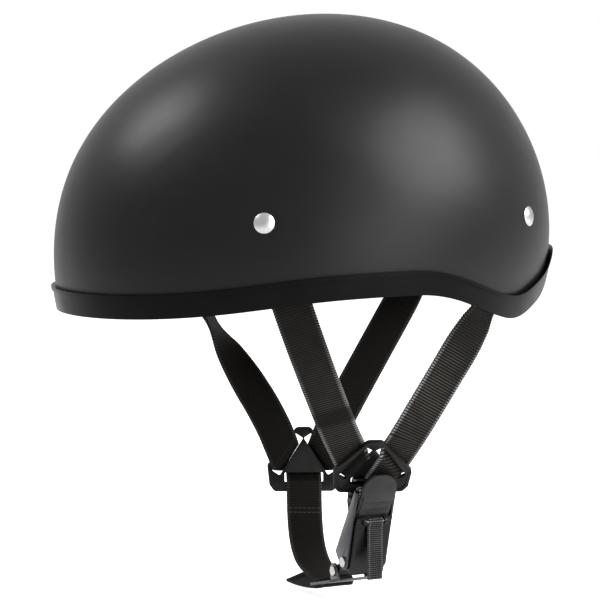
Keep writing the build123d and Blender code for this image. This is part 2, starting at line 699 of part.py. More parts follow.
def release_lever(buckle):
    """Wedge with a pawl underneath, a heel round its pin and a mouth that holds the ribbon's pin."""
    body = [
        (0, -LEVER_UNDER), (LEVER_TOP_UP, -LEVER_UNDER), (LEVER_TOP_UP, lever_line(LEVER_TOP_UP)),
        (-LEVER_FOOT, lever_line(-LEVER_FOOT)), (-LEVER_FOOT, 0),
    ]
    shape = profile(buckle, body, LEVER_WIDTH)
    shape += round_bar(buckle, 0, 0, LEVER_HEEL_RADIUS, LEVER_WIDTH)
    pawl = [
        (PAWL_UP, 0), (PAWL_UP, -PAWL_TIP), (PAWL_UP - PAWL_LENGTH, -PAWL_TIP),
        (PAWL_UP - 2 * PAWL_LENGTH, -LEVER_UNDER), (PAWL_UP - 2 * PAWL_LENGTH, 0),
    ]
    shape += profile(buckle, pawl, LEVER_WIDTH - 2 * CASE_WALL)
    shape += round_bar(buckle, RIBBON_PIN_UP, -RIBBON_PIN_IN, RIBBON_EAR_RADIUS, RIBBON_EAR_WIDTH)
    mouth = LEVER_TOP_UP - LEVER_MOUTH_DOWN
    shape -= buckle * Pos(LEVER_MOUTH_DOWN, 0) * Box(
        mouth * 2, OVERRUN, LEVER_MOUTH_WIDTH, align=(Align.MIN, Align.CENTER, Align.CENTER)
    )
    shape -= round_bar(buckle, RIBBON_PIN_UP, -RIBBON_PIN_IN, RIBBON_PIN_RADIUS, LEVER_WIDTH * 2)
    shape -= round_bar(buckle, 0, 0, PIN_RADIUS + PIN_GAP, LEVER_WIDTH * 2)
    pocket = round_bar(buckle, 0, 0, SPRING_POCKET_RADIUS, SPRING_POCKET_WIDTH)
    return shape - pocket


def lever_spring(buckle):
    """Coil round the lever's pin with a leg at each end."""
    middle = PIN_RADIUS + SPRING_CLEAR + SPRING_WIRE_RADIUS
    pitch = SPRING_WIDTH / SPRING_TURNS
    coil = Helix(pitch=pitch, height=SPRING_WIDTH, radius=middle)
    start = Plane(origin=coil @ 0, z_dir=coil % 0)
    wire = sweep(start * Circle(SPRING_WIRE_RADIUS), path=coil)
    return buckle * Pos(0, 0, -SPRING_WIDTH / 2) * wire


def ribbon_pin(buckle):
    return round_bar(buckle, RIBBON_PIN_UP, -RIBBON_PIN_IN, RIBBON_PIN_RADIUS, RIBBON_EAR_WIDTH)


def pull_ribbon(buckle):
    """Ribbon looped round its pin, hanging straight down."""
    eye = RIBBON_PIN_RADIUS + RIBBON_PIN_GAP
    ring = round_bar(buckle, RIBBON_PIN_UP, -RIBBON_PIN_IN, eye + RIBBON_LOOP_THICK, RIBBON_WIDTH)
    down = HALF_TURN - BUCKLE_PITCH
    strip = Box(RIBBON_LENGTH, RIBBON_THICK, RIBBON_WIDTH, align=(Align.MIN, Align.CENTER, Align.CENTER))
    shape = ring + buckle * Pos(RIBBON_PIN_UP, -RIBBON_PIN_IN) * Rot(0, 0, down) * strip
    return shape - round_bar(buckle, RIBBON_PIN_UP, -RIBBON_PIN_IN, eye, RIBBON_WIDTH * 2)


def toothed_tongue(buckle):
    """Plastic strip with saw teeth outside, a rounded tip, and an eye at its foot."""
    tip = [
        (TONGUE_TIP_UP - TONGUE_TIP_RUN, TONGUE_FACE), (TONGUE_TIP_UP, TONGUE_FACE - TONGUE_TIP_DROP),
        (TONGUE_TIP_UP, -TONGUE_BACK - TONGUE_TIP_DROP), (TONGUE_TIP_UP - TONGUE_TIP_RUN, -TONGUE_BACK),
    ]
    foot = [(-TONGUE_FOOT, -TONGUE_BACK), (-TONGUE_FOOT, TONGUE_FACE)]
    strip = profile(buckle, tip + foot, TONGUE_WIDTH)
    for index in range(TOOTH_COUNT):
        top = TOOTH_TOP_UP - index * TOOTH_PITCH
        low = top - TOOTH_PITCH
        tooth = [(low, -TONGUE_BACK + TONGUE_THICK / 2), (low, TONGUE_FACE + TOOTH_RISE), (top, TONGUE_FACE)]
        tooth.append((top, -TONGUE_BACK + TONGUE_THICK / 2))
        strip += profile(buckle, tooth, TONGUE_WIDTH - 2 * CASE_WALL)
    plan = Rot(90, 0, 0) * RectangleRounded(TONGUE_TIP_UP * 2, TONGUE_WIDTH, TONGUE_TIP_RADIUS)
    strip &= buckle * extrude(plan, amount=OVERRUN, both=True)
    eye = round_bar(buckle, -TONGUE_PIN_UNDER, -TONGUE_PIN_IN, EYE_RADIUS, EYE_WIDTH)
    neck = [
        (-TONGUE_FOOT, -TONGUE_BACK), (-TONGUE_FOOT, TONGUE_FACE),
        (-TONGUE_PIN_UNDER, -TONGUE_PIN_IN + EYE_RADIUS),
        (-TONGUE_PIN_UNDER, -TONGUE_PIN_IN - EYE_RADIUS / 2),
    ]
    shape = strip + profile(buckle, neck, EYE_WIDTH) + eye
    shape -= round_bar(buckle, -TONGUE_PIN_UNDER, -TONGUE_PIN_IN, PIN_RADIUS + PIN_GAP, TONGUE_WIDTH * 2)
    return shape


def strap_plate(plane):
    """Steel plate under the chin: two ears for the tongue's pin, and a bar that the webbing goes round."""
    middle = PLATE_OUTER - PLATE_LENGTH / 2
    level = -PLATE_DROP - PLATE_THICK / 2
    outline = RectangleRounded(PLATE_LENGTH, PLATE_WIDTH, PLATE_CORNER)
    flat = extrude(outline, amount=PLATE_THICK / 2, both=True)
    inner_end = -PLATE_LENGTH / 2 + PLATE_BAR + PLATE_SLOT_WIDTH / 2
    flat -= Pos(inner_end, 0) * Box(PLATE_SLOT_WIDTH, PLATE_SLOT_LENGTH, PLATE_THICK * 2)
    shape = plane * Pos(middle, level) * Rot(90, 0, 0) * flat
    for side in (-1, 1):
        at = side * (EYE_WIDTH / 2 + EAR_GAP + EAR_THICK / 2)
        low = (Align.CENTER, Align.MAX, Align.CENTER)
        web = Box(2 * EAR_RADIUS, PLATE_DROP + PLATE_THICK / 2, EAR_THICK, align=low)
        shape += plane * Pos(0, 0, at) * (Cylinder(EAR_RADIUS, EAR_THICK) + web)
    return shape - round_bar(plane, 0, 0, PIN_RADIUS + PIN_GAP, CASE_WIDTH * 2)


def slot_web(divide, foot):
    """Chin webbing through a divider's level slot, down to foot below its middle."""
    plane = Plane(origin=divide.origin, x_dir=divide.y_dir, z_dir=divide.x_dir)
    points = [
        (-CHIN_START, WEB_LEVEL), (-LEVEL_SLOT_DOWN + WEB_LEVEL, WEB_LEVEL),
        (-LEVEL_SLOT_DOWN - WEB_LEVEL, -WEB_LEVEL), (-foot, -WEB_LEVEL),
    ]
    return folded_web(plane, points)


def left_chin_strap(divide, buckle):
    """Webbing from the left divider's level slot, round the end bar of the buckle's floor."""
    foot = DIVIDER_HALF_HEIGHT + BAR_CLEAR
    start = divide.from_local_coords(Vector(0, -foot, -WEB_LEVEL))
    behind = -FLOOR_DEPTH - SOFT_GAP - WEB_THICK / 2
    front = FLOOR_TOP + SOFT_GAP + WEB_THICK / 2
    around = CASE_REACH + SOFT_GAP + WEB_THICK / 2
    half = (front - behind) / 2
    turn = Vector(CASE_SLOT_UP - half, behind, 0)
    arrive = turn + (buckle.to_local_coords(start) - turn) * ARRIVE_SHARE
    arrive.Z = 0
    wrap = [
        (arrive.X, arrive.Y), (turn.X, turn.Y), (CASE_SLOT_UP + half, front),
        (around, front), (around, behind), (LOOP_END, behind),
    ]
    end = buckle.from_local_coords(arrive)
    end_way = (buckle.from_local_coords(turn) - end).normalized()
    centres = smooth_run(start, -divide.y_dir, end, end_way, 1)
    run = web_run(centres, blended(divide.x_dir, buckle.z_dir), blended(-divide.y_dir, end_way))
    return slot_web(divide, foot) + run + folded_web(buckle, wrap)


def right_chin_strap(divide, plane):
    """Webbing from the right divider, under the chin, round the strap plate's bar, with a loose tail.

    The right divider is drawn as if on the left, so its webbing is mirrored before it joins the rest.
    """
    foot = DIVIDER_HALF_HEIGHT + BAR_CLEAR
    start_piece = mirrored(slot_web(divide, foot))
    bar_end = PLATE_OUTER - PLATE_LENGTH
    slot_middle = bar_end + PLATE_BAR + PLATE_SLOT_WIDTH / 2
    over = -PLATE_DROP + SOFT_GAP + WEB_THICK / 2
    under = -PLATE_DROP - PLATE_THICK - SOFT_GAP - WEB_THICK / 2
    arrive = (bar_end - ARRIVE_RUN, over + ARRIVE_RISE)
    wrap = [
        arrive, (bar_end, over), (slot_middle, over), (slot_middle, under), (bar_end, under),
        (bar_end - TAIL_LENGTH, under + TAIL_RISE),
    ]
    end_piece = folded_web(plane, wrap)

    start = across_middle(divide.from_local_coords(Vector(0, -foot, -WEB_LEVEL)))
    start_way = across_middle(-divide.y_dir)
    start_across = across_middle(divide.x_dir)
    end = plane.from_local_coords(Vector(*arrive, 0))
    step = Vector(bar_end - arrive[0], over - arrive[1], 0).normalized()
    end_way = plane.from_local_coords(step) - plane.origin
    end_across = -plane.z_dir
    centres = smooth_run(start, start_way, end, end_way, CHIN_PULL_SHARE)
    run = web_run(centres, blended(start_across, end_across))
    return start_piece + run + end_piece


def build():
    parts = {
        "outer_shell": outer_shell(),
        "edge_trim": edge_trim(),
        "impact_liner": impact_liner(),
        "comfort_lining": comfort_lining(),
    }
    parts.update(comfort_pads())
    left_plane = divider_plane(LEFT_DIVIDER, LEFT_DIVIDER_PITCH, LEFT_DIVIDER_YAW)
    right_plane = divider_plane(RIGHT_DIVIDER, RIGHT_DIVIDER_PITCH, RIGHT_DIVIDER_YAW)
    for name, rivet in (("front", FRONT_RIVET), ("rear", REAR_RIVET)):
        for make, kind in ((strap_rivet, "rivet"), (anchor_plate, "anchor_plate"), (strap_washer, "washer")):
            piece = make(rivet)
            parts[f"left_{name}_{kind}"] = piece
            parts[f"right_{name}_{kind}"] = mirrored(piece)
    parts["left_front_strap"] = upper_strap(left_plane, -1, FRONT_RIVET, LEFT_FRONT_EXIT)
    parts["left_rear_strap"] = upper_strap(left_plane, 1, REAR_RIVET, LEFT_REAR_EXIT)
    far_front = upper_strap(right_plane, -1, FRONT_RIVET, RIGHT_FRONT_EXIT, RIGHT_FRONT_TWIST)
    parts["right_front_strap"] = mirrored(far_front)
    parts["right_rear_strap"] = mirrored(upper_strap(right_plane, 1, REAR_RIVET, RIGHT_REAR_EXIT))
    parts["left_divider"] = divider(left_plane)
    parts["right_divider"] = mirrored(divider(right_plane))
    buckle = buckle_plane()
    plate = plate_plane(buckle)
    parts["left_chin_strap"] = left_chin_strap(left_plane, buckle)
    parts["right_chin_strap"] = right_chin_strap(right_plane, plate)
    parts["buckle_case"] = buckle_case(buckle)
    parts["lever_pin"] = headed_pin(buckle, 0, 0, CASE_WIDTH)
    parts["release_lever"] = release_lever(buckle)
    parts["lever_spring"] = lever_spring(buckle)
    parts["ribbon_pin"] = ribbon_pin(buckle)
    parts["pull_ribbon"] = pull_ribbon(buckle)
    parts["toothed_tongue"] = toothed_tongue(buckle)
    parts["tongue_pin"] = headed_pin(plate, 0, 0, EYE_WIDTH + 2 * EAR_GAP + 2 * EAR_THICK)
    parts["strap_plate"] = strap_plate(plate)
    return parts


def main():
    os.makedirs("parts", exist_ok=True)
    for name, shape in build().items():
        export_step(shape, f"parts/{name}.step")


main()
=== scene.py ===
# %% [markdown]
# # A half shell helmet with a Y strap harness
#
# The CAD model gives every hard piece its exact place. This script gives the helmet its looks: a matt
# coat on the shell, ribbed webbing, moulded plastic, satin rivets, and cloth pads inside.
# All places are worked out in millimetres, as the CAD model does, and turned to metres when a mesh is made.
# A size that a soft piece shares with a hard one is the same number as in the CAD model, so that a strap
# made here goes through the divider's slot made there.

# %% Load the CAD frame
import bmesh
import bpy
import json
import math
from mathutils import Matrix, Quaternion, Vector

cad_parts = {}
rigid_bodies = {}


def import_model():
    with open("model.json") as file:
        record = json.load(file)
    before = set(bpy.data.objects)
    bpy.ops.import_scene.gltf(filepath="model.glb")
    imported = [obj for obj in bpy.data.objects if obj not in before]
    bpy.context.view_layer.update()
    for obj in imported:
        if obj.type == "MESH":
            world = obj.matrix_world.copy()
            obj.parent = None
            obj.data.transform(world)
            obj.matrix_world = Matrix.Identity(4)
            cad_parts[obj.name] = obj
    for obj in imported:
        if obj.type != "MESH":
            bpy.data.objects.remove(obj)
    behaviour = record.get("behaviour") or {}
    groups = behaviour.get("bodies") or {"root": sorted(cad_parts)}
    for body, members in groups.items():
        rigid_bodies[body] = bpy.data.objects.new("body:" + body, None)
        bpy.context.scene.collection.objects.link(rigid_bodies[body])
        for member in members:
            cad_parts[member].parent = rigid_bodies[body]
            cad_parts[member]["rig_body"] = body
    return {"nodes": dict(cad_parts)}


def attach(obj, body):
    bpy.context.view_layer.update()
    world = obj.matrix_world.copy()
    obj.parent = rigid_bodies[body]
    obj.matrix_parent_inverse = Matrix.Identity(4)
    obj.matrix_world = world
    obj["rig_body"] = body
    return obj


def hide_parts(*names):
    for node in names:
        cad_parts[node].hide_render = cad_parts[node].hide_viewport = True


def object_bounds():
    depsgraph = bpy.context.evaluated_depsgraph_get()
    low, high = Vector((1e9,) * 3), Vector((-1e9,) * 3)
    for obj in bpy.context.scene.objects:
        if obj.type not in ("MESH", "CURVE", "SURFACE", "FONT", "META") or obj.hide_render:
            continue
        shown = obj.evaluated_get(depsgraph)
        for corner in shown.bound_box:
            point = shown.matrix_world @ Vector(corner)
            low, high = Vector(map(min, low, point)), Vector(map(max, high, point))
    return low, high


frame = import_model()
nodes = frame["nodes"]
cad_low, cad_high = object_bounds()
MM = 0.001
print("CAD nodes:", len(nodes), "box:", [round(value, 3) for value in (*cad_low, *cad_high)])

# %% [markdown]
# ## Shader groups
#
# A node group is a small machine with named inputs and outputs. An effect that several finishes share is
# built once here, and each finish sets its own numbers on it. These groups only put out colours, masks and
# heights. The shader itself stays in each material.

# %% Helpers that build node trees
NUMBER = "NodeSocketFloat"
COLOUR = "NodeSocketColor"
SHAPE = "NodeSocketGeometry"


def feed(tree, node, values):
    """Sets a node's inputs, by name or number, to plain values, or links other nodes' outputs to them."""
    for key, value in values.items():
        if isinstance(value, bpy.types.NodeSocket):
            tree.links.new(value, node.inputs[key])
        else:
            node.inputs[key].default_value = value


def add(tree, kind, inputs=None, **settings):
    """Adds a node, sets its properties and feeds its inputs."""
    made = tree.nodes.new(kind)
    for key, value in settings.items():
        setattr(made, key, value)
    feed(tree, made, inputs or {})
    return made


def math_node(tree, operation, *values):
    """A Math node fed by numbers or outputs. Returns its own output."""
    return add(tree, "ShaderNodeMath", dict(enumerate(values)), operation=operation).outputs[0]


def mix_colours(tree, share, first, second):
    """Mixes two colours, each an output or an RGBA value, by a share."""
    return add(tree, "ShaderNodeMix", {0: share, 6: first, 7: second}, data_type="RGBA").outputs[2]


def new_group(name, inputs, outputs, kind="ShaderNodeTree"):
    """A node group with named sockets. inputs and outputs give each socket's type by its name."""
    tree = bpy.data.node_groups.new(name, kind)
    for side, sockets in (("INPUT", inputs), ("OUTPUT", outputs)):
        for label, socket in sockets.items():
            tree.interface.new_socket(label, in_out=side, socket_type=socket)
    return tree, add(tree, "NodeGroupInput").outputs, add(tree, "NodeGroupOutput")


def use_group(tree, group, inputs):
    """Puts a node group in a tree. Returns its outputs."""
    return add(tree, "ShaderNodeGroup", inputs, node_tree=group).outputs


# %% [markdown]
# ### Grain and handling
#
# Moulded and sprayed surfaces are never quite smooth or quite even. The grain group gives a fine height and
# a slow blotchy mask. The handling group lets fingers and dust change the colour and the gloss a little.

# %% Grain and handling groups
def build_grain():
    """A fine height, and a slow mask of blotches."""
    tree, source, sink = new_group(
        "Grain", {"Fine Scale": NUMBER, "Broad Scale": NUMBER}, {"Height": NUMBER, "Blotches": NUMBER}
    )
    place = add(tree, "ShaderNodeTexCoord").outputs["Object"]
    fine = add(tree, "ShaderNodeTexNoise", {
        "Vector": place, "Scale": source["Fine Scale"], "Detail": 3.0, "Roughness": 0.6,
    })
    broad = add(tree, "ShaderNodeTexNoise", {
        "Vector": place, "Scale": source["Broad Scale"], "Detail": 4.0, "Roughness": 0.55,
    })
    spread = add(tree, "ShaderNodeMapRange", {0: broad.outputs[0], "From Min": 0.35, "From Max": 0.68})
    feed(tree, sink, {"Height": fine.outputs[0], "Blotches": spread.outputs[0]})
    return tree


def build_handling(grain):
    """A colour and a gloss that change a little where hands and dust have been."""
    tree, source, sink = new_group(
        "Handling",
        {
            "Colour": COLOUR, "Rubbed Colour": COLOUR, "Roughness": NUMBER, "Uneven Gloss": NUMBER,
            "Rub": NUMBER, "Fine Scale": NUMBER, "Broad Scale": NUMBER,
        },
        {"Colour": COLOUR, "Roughness": NUMBER, "Height": NUMBER},
    )
    detail = use_group(tree, grain, {label: source[label] for label in ("Fine Scale", "Broad Scale")})
    rub = math_node(tree, "MULTIPLY", detail["Blotches"], source["Rub"])
    centred = math_node(tree, "SUBTRACT", detail["Blotches"], 0.5)
    feed(tree, sink, {
        "Colour": mix_colours(tree, rub, source["Colour"], source["Rubbed Colour"]),
        "Roughness": math_node(tree, "MULTIPLY_ADD", centred, source["Uneven Gloss"], source["Roughness"]),
        "Height": detail["Height"],
    })
    return tree


GRAIN = build_grain()
HANDLING = build_handling(GRAIN)
print("Shader groups:", [tree.name for tree in bpy.data.node_groups])

# %% [markdown]
# ### Woven ribs
#
# The webbing's ribs are real bumps in its mesh, and each point of the mesh carries how high on a rib it is,
# how far along and across the strap it lies, whether it is on the selvedge, the strap's finished edge, and
# how much painted shade it gets. The group paints light into the yarn's colour: a painted highlight on the
# ridges, the dark yarn colour in the valleys, small painted glints where the thread turns at the selvedge,
# and painted shade that dims the highlights and glints.

# %% Woven group
def build_woven(grain, highlight_sharpness=5.0, glint_sharpness=3.0, between_yarns=0.3, fuzz=0.7):
    """Yarn with painted rib highlights, selvedge glints and shade, from what the webbing's mesh carries."""
    tree, source, sink = new_group(
        "Woven Ribs With Painted Light",
        {"Valley": COLOUR, "Ridge Highlight": COLOUR, "Selvedge Glint": COLOUR, "Yarn Pitch": NUMBER},
        {"Colour": COLOUR, "Height": NUMBER},
    )
    rib, across, edge, shade = (
        add(tree, "ShaderNodeAttribute", attribute_name=label).outputs["Fac"]
        for label in ("rib", "across", "edge", "shade")
    )
    # One less the painted shade: it dims the painted highlights and glints.
    open_light = math_node(tree, "SUBTRACT", 1.0, shade)
    turns = math_node(tree, "DIVIDE", across, source["Yarn Pitch"])
    wave = math_node(tree, "SINE", math_node(tree, "MULTIPLY", turns, math.pi))
    yarn = math_node(tree, "ABSOLUTE", wave)
    detail = use_group(tree, grain, {"Fine Scale": 2600.0, "Broad Scale": 90.0})
    # Painted highlight: a bright band on each rib's crest, broken up by the yarns.
    crest = math_node(tree, "POWER", rib, highlight_sharpness)
    lit = math_node(tree, "MULTIPLY", crest, math_node(tree, "ADD", yarn, between_yarns))
    uneven = math_node(tree, "MULTIPLY_ADD", detail["Blotches"], 0.5, 0.6)
    uneven = math_node(tree, "MULTIPLY", uneven, open_light)
    ridge_highlight = mix_colours(tree, math_node(tree, "MULTIPLY", lit, uneven), source["Valley"], source["Ridge Highlight"])
    # Painted glints: bright dots where the rib crests meet the selvedge.
    glint_dots = math_node(tree, "MULTIPLY", math_node(tree, "POWER", rib, glint_sharpness), edge)
    glint_dots = math_node(tree, "MULTIPLY", glint_dots, open_light)
    feed(tree, sink, {
        "Colour": mix_colours(tree, glint_dots, ridge_highlight, source["Selvedge Glint"]),
        "Height": math_node(tree, "MULTIPLY_ADD", detail["Height"], fuzz, yarn),
    })
    return tree


WOVEN = build_woven(GRAIN)
print("Woven group:", len(WOVEN.nodes), "nodes")

# %% [markdown]
# ## Finishes
#
# Each finish is one material. Numbers that are the same all over the surface are set on the shader's own
# sockets. Only what changes from place to place comes through a group.

# %% Helpers for finishes
SPECULAR = "Specular IOR Level"
METAL = "Metallic"


def new_finish(name, sockets):
    """A material with a Principled shader. Returns the material, its tree and the shader."""
    material = bpy.data.materials.new(name)
    material.use_nodes = True
    shader = material.node_tree.nodes["Principled BSDF"]
    feed(material.node_tree, shader, sockets)
    return material, material.node_tree, shader


def bump(tree, height, distance, strength=1.0):
    """A Bump node's normal, from a height and the distance in metres that it stands for."""
    inputs = {"Height": height, "Distance": distance, "Strength": strength}
    return add(tree, "ShaderNodeBump", inputs).outputs[0]


def grey(level, warmth=0.0):
    """An opaque grey. Warmth moves it a little towards orange."""
    return (level * (1 + warmth), level, level * (1 - warmth), 1)


def hard_finish(name, colour, rubbed, roughness, uneven, rub, fine, broad, depth, socket, value):
    """A moulded, sprayed or plated surface: even colour, a fine grain, and signs of handling."""
    material, tree, shader = new_finish(name, {socket: value})
    worn = use_group(tree, HANDLING, {
        "Colour": colour, "Rubbed Colour": rubbed, "Roughness": roughness, "Uneven Gloss": uneven,
        "Rub": rub, "Fine Scale": fine, "Broad Scale": broad,
    })
    feed(tree, shader, {
        "Base Color": worn["Colour"], "Roughness": worn["Roughness"],
        "Normal": bump(tree, worn["Height"], depth * MM),
    })
    return material


# %% Hard finishes: name, colours, roughness, uneven gloss, rub, grain scales, depth in mm, fixed socket
HARD_FINISHES = (
    ("matt_shell_coat", grey(0.002), grey(0.0035), 0.4, 0.05, 0.5, 2600, 26, 0.04, SPECULAR, 0.17),
    ("trim_rubber", grey(0.0015), grey(0.004), 0.34, 0.1, 0.5, 1500, 55, 0.05, SPECULAR, 0.05),
    ("satin_rivet", grey(0.4), grey(0.28), 0.34, 0.12, 0.6, 900, 240, 0.02, METAL, 1.0),
    ("plated_steel", grey(0.3, 0.03), grey(0.22), 0.34, 0.18, 0.6, 1200, 160, 0.02, METAL, 1.0),
    ("pin_metal", grey(0.4), grey(0.3), 0.26, 0.12, 0.5, 1400, 220, 0.01, METAL, 1.0),
    ("divider_plastic", grey(0.006, 0.03), grey(0.014), 0.42, 0.14, 0.6, 2100, 120, 0.05, SPECULAR, 0.12),
    ("lever_plastic", grey(0.0035, 0.03), grey(0.008), 0.34, 0.12, 0.5, 2300, 130, 0.04, SPECULAR, 0.16),
    ("tongue_plastic", grey(0.02), grey(0.034), 0.4, 0.14, 0.6, 2000, 140, 0.04, SPECULAR, 0.13),
    ("case_steel", (0.026, 0.027, 0.034, 1), grey(0.05), 0.36, 0.16, 0.6, 1500, 150, 0.03, METAL, 0.7),
    ("strap_plate_steel", (0.045, 0.046, 0.05, 1), grey(0.08), 0.32, 0.16, 0.6, 1500, 150, 0.03, METAL, 0.8),
    ("spring_wire", grey(0.35), grey(0.26), 0.26, 0.1, 0.5, 1800, 260, 0.01, METAL, 1.0),
    ("sewing_thread", grey(0.02), grey(0.05), 0.7, 0.1, 0.7, 5200, 700, 0.08, SPECULAR, 0.3),
)
FINISHES = {row[0]: hard_finish(*row) for row in HARD_FINISHES}
print("Hard finishes:", len(FINISHES))

# %% [markdown]
# ### Foam, cloth and webbing
#
# The impact liner is made of small beads of foam pressed together, so it shows a net of bead edges, which
# a Voronoi texture gives. The cloth has a fine knit, made of two crossing waves. The webbing reads what its
# mesh carries.

# %% Beaded foam
def build_foam(beads_per_metre=300.0):
    """Foam beads pressed together, with darker seams between them."""
    material, tree, shader = new_finish("beaded_foam", {"Roughness": 0.75, SPECULAR: 0.3})
    spot = {"Vector": add(tree, "ShaderNodeTexCoord").outputs["Object"], "Scale": beads_per_metre}
    beads = add(tree, "ShaderNodeTexVoronoi", spot, feature="DISTANCE_TO_EDGE")
    shades = add(tree, "ShaderNodeTexVoronoi", spot)
    seam = add(tree, "ShaderNodeMapRange", {0: beads.outputs["Distance"], "From Max": 0.16}).outputs[0]
    shade = math_node(tree, "MULTIPLY", shades.outputs["Color"], seam)
    feed(tree, shader, {
        "Base Color": mix_colours(tree, shade, grey(0.012), grey(0.045)),
        "Normal": bump(tree, seam, 0.0003, 0.8),
    })
    return material


FINISHES["beaded_foam"] = build_foam()
print("Foam:", len(FINISHES["beaded_foam"].node_tree.nodes), "nodes")

# %% Knitted cloth
def build_cloth(name, colour, bright, pitch):
    """Brushed knit: two crossing waves for the loops, with slow uneven patches where it is rubbed."""
    material, tree, shader = new_finish(name, {
        "Roughness": 0.9, SPECULAR: 0.2, "Sheen Weight": 0.35, "Sheen Roughness": 0.5,
    })
    place = add(tree, "ShaderNodeTexCoord").outputs["Object"]
    x, y, z = add(tree, "ShaderNodeSeparateXYZ", {0: place}).outputs
    waves = []
    for axis in (x, y):
        slanted = math_node(tree, "ADD", axis, z)
        waves.append(math_node(tree, "SINE", math_node(tree, "MULTIPLY", slanted, math.tau / pitch)))
    loops = math_node(tree, "MULTIPLY_ADD", math_node(tree, "MULTIPLY", *waves), 0.5, 0.5)
    detail = use_group(tree, GRAIN, {"Fine Scale": 3200.0, "Broad Scale": 45.0})
    share = math_node(tree, "MULTIPLY", loops, math_node(tree, "ADD", detail["Blotches"], 0.4))
    height = math_node(tree, "MULTIPLY_ADD", detail["Height"], 0.6, loops)
    feed(tree, shader, {
        "Base Color": mix_colours(tree, share, colour, bright), "Normal": bump(tree, height, 0.00018),
    })
    return material


CLOTHS = (("pad_cloth", grey(0.01), grey(0.032), 0.0014), ("lining_cloth", grey(0.007), grey(0.024), 0.0011))
FINISHES.update({row[0]: build_cloth(*row) for row in CLOTHS})
print("Cloths:", len(CLOTHS))

# %% Webbing
def build_webbing(name, valley, ridge_highlight, selvedge, yarn):
    """Woven webbing, whose ridge and selvedge colours are painted highlights and glints. yarn is the width of
    one yarn in millimetres.
    """
    material, tree, shader = new_finish(name, {"Roughness": 0.55, SPECULAR: 0.06})
    colours = {"Valley": valley, "Ridge Highlight": ridge_highlight, "Selvedge Glint": selvedge}
    woven = use_group(tree, WOVEN, {**colours, "Yarn Pitch": yarn})
    feed(tree, shader, {"Base Color": woven["Colour"], "Normal": bump(tree, woven["Height"], 0.00009)})
    return material


# Each webbing: name, valley colour, painted ridge highlight, painted selvedge glint, yarn width in mm. The
# second is a darker copy of the first for the far straps: painted shade.
WEBBINGS = (
    ("ribbed_webbing", grey(0.002, 0.25), grey(0.062, 0.1), grey(0.3), 0.9),
    ("shaded_far_webbing", grey(0.003, 0.25), grey(0.01, 0.2), grey(0.05), 0.9),
    ("ribbon_weave", grey(0.003), grey(0.09), grey(0.14), 1.2),
)
FINISHES.update({row[0]: build_webbing(*row) for row in WEBBINGS})
print("Finishes:", sorted(FINISHES))

# %% [markdown]
# ## Hard pieces with eased edges
#
# CAD solids have knife sharp edges, and a real moulded or stamped edge has a small radius that catches the
# light. A CAD mesh is loose triangles that are left alone, so each small hard piece gets a copy: the copy's
# doubled points are merged, flat faces are joined again, and a Bevel modifier rounds what is left. The copy
# then replaces its node.

# %% Helpers for meshes and pieces
MERGE_DISTANCE = 0.000002
FLAT_ANGLE = math.radians(1.0)
SHARP_ANGLE = math.radians(32.0)


def smooth(mesh):
    """Shades all of a mesh's faces smooth."""
    mesh.polygons.foreach_set("use_smooth", [True] * len(mesh.polygons))


def paint(mesh, finish):
    """Gives a mesh one finish in place of those it has."""
    mesh.materials.clear()
    mesh.materials.append(finish)


def new_piece(name, mesh, finish=None):
    """Puts a mesh in the scene. With a finish it is painted and smooth shaded."""
    if finish:
        smooth(mesh)
        paint(mesh, finish)
    piece = bpy.data.objects.new(name, mesh)
    bpy.context.scene.collection.objects.link(piece)
    return piece


def piece_from(shape, name, finish=None):
    """Turns a bmesh into a piece."""
    mesh = bpy.data.meshes.new(name)
    shape.to_mesh(mesh)
    shape.free()
    return new_piece(name, mesh, finish)


def merged_mesh(node, flatten=False):
    """A copy of a CAD node's mesh with its loose triangles joined and, if asked, its flat faces whole."""
    mesh = nodes[node].data.copy()
    shape = bmesh.new()
    shape.from_mesh(mesh)
    bmesh.ops.remove_doubles(shape, verts=shape.verts, dist=MERGE_DISTANCE)
    if flatten:
        bmesh.ops.dissolve_limit(
            shape, angle_limit=FLAT_ANGLE, verts=shape.verts, edges=shape.edges, delimit=set()
        )
    shape.to_mesh(mesh)
    shape.free()
    return mesh


def modify(piece, name, kind, **settings):
    """Adds a modifier with the given settings."""
    made = piece.modifiers.new(name, kind)
    for key, value in settings.items():
        setattr(made, key, value)
    return made


# %% Eased copies of CAD nodes: the radius of the edges in mm, the finish and the slot
def eased_copy(node, radius, finish):
    """A copy of a CAD node with rounded edges, which replaces it."""
    source = nodes[node]
    piece = new_piece(node + "_eased", merged_mesh(node, flatten=True), FINISHES[finish])
    modify(
        piece, "Eased Edges", "BEVEL", width=radius * MM, segments=2, limit_method="ANGLE",
        angle_limit=SHARP_ANGLE, harden_normals=True,
    )
    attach(piece, source["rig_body"])
    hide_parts(node)
    return piece


EASED = {
    "left_divider": (0.45, "divider_plastic", "divider"),
    "right_divider": (0.45, "divider_plastic", "divider"),
    "buckle_case": (0.25, "case_steel", "buckle_case"),
    "strap_plate": (0.3, "strap_plate_steel", "strap_plate"),
    "release_lever": (0.5, "lever_plastic", "lever"),
    "toothed_tongue": (0.2, "tongue_plastic", "tongue"),
}
for node, (radius, finish, slot) in EASED.items():
    made = eased_copy(node, radius, finish)
    print(made.name, len(made.data.polygons), "faces")


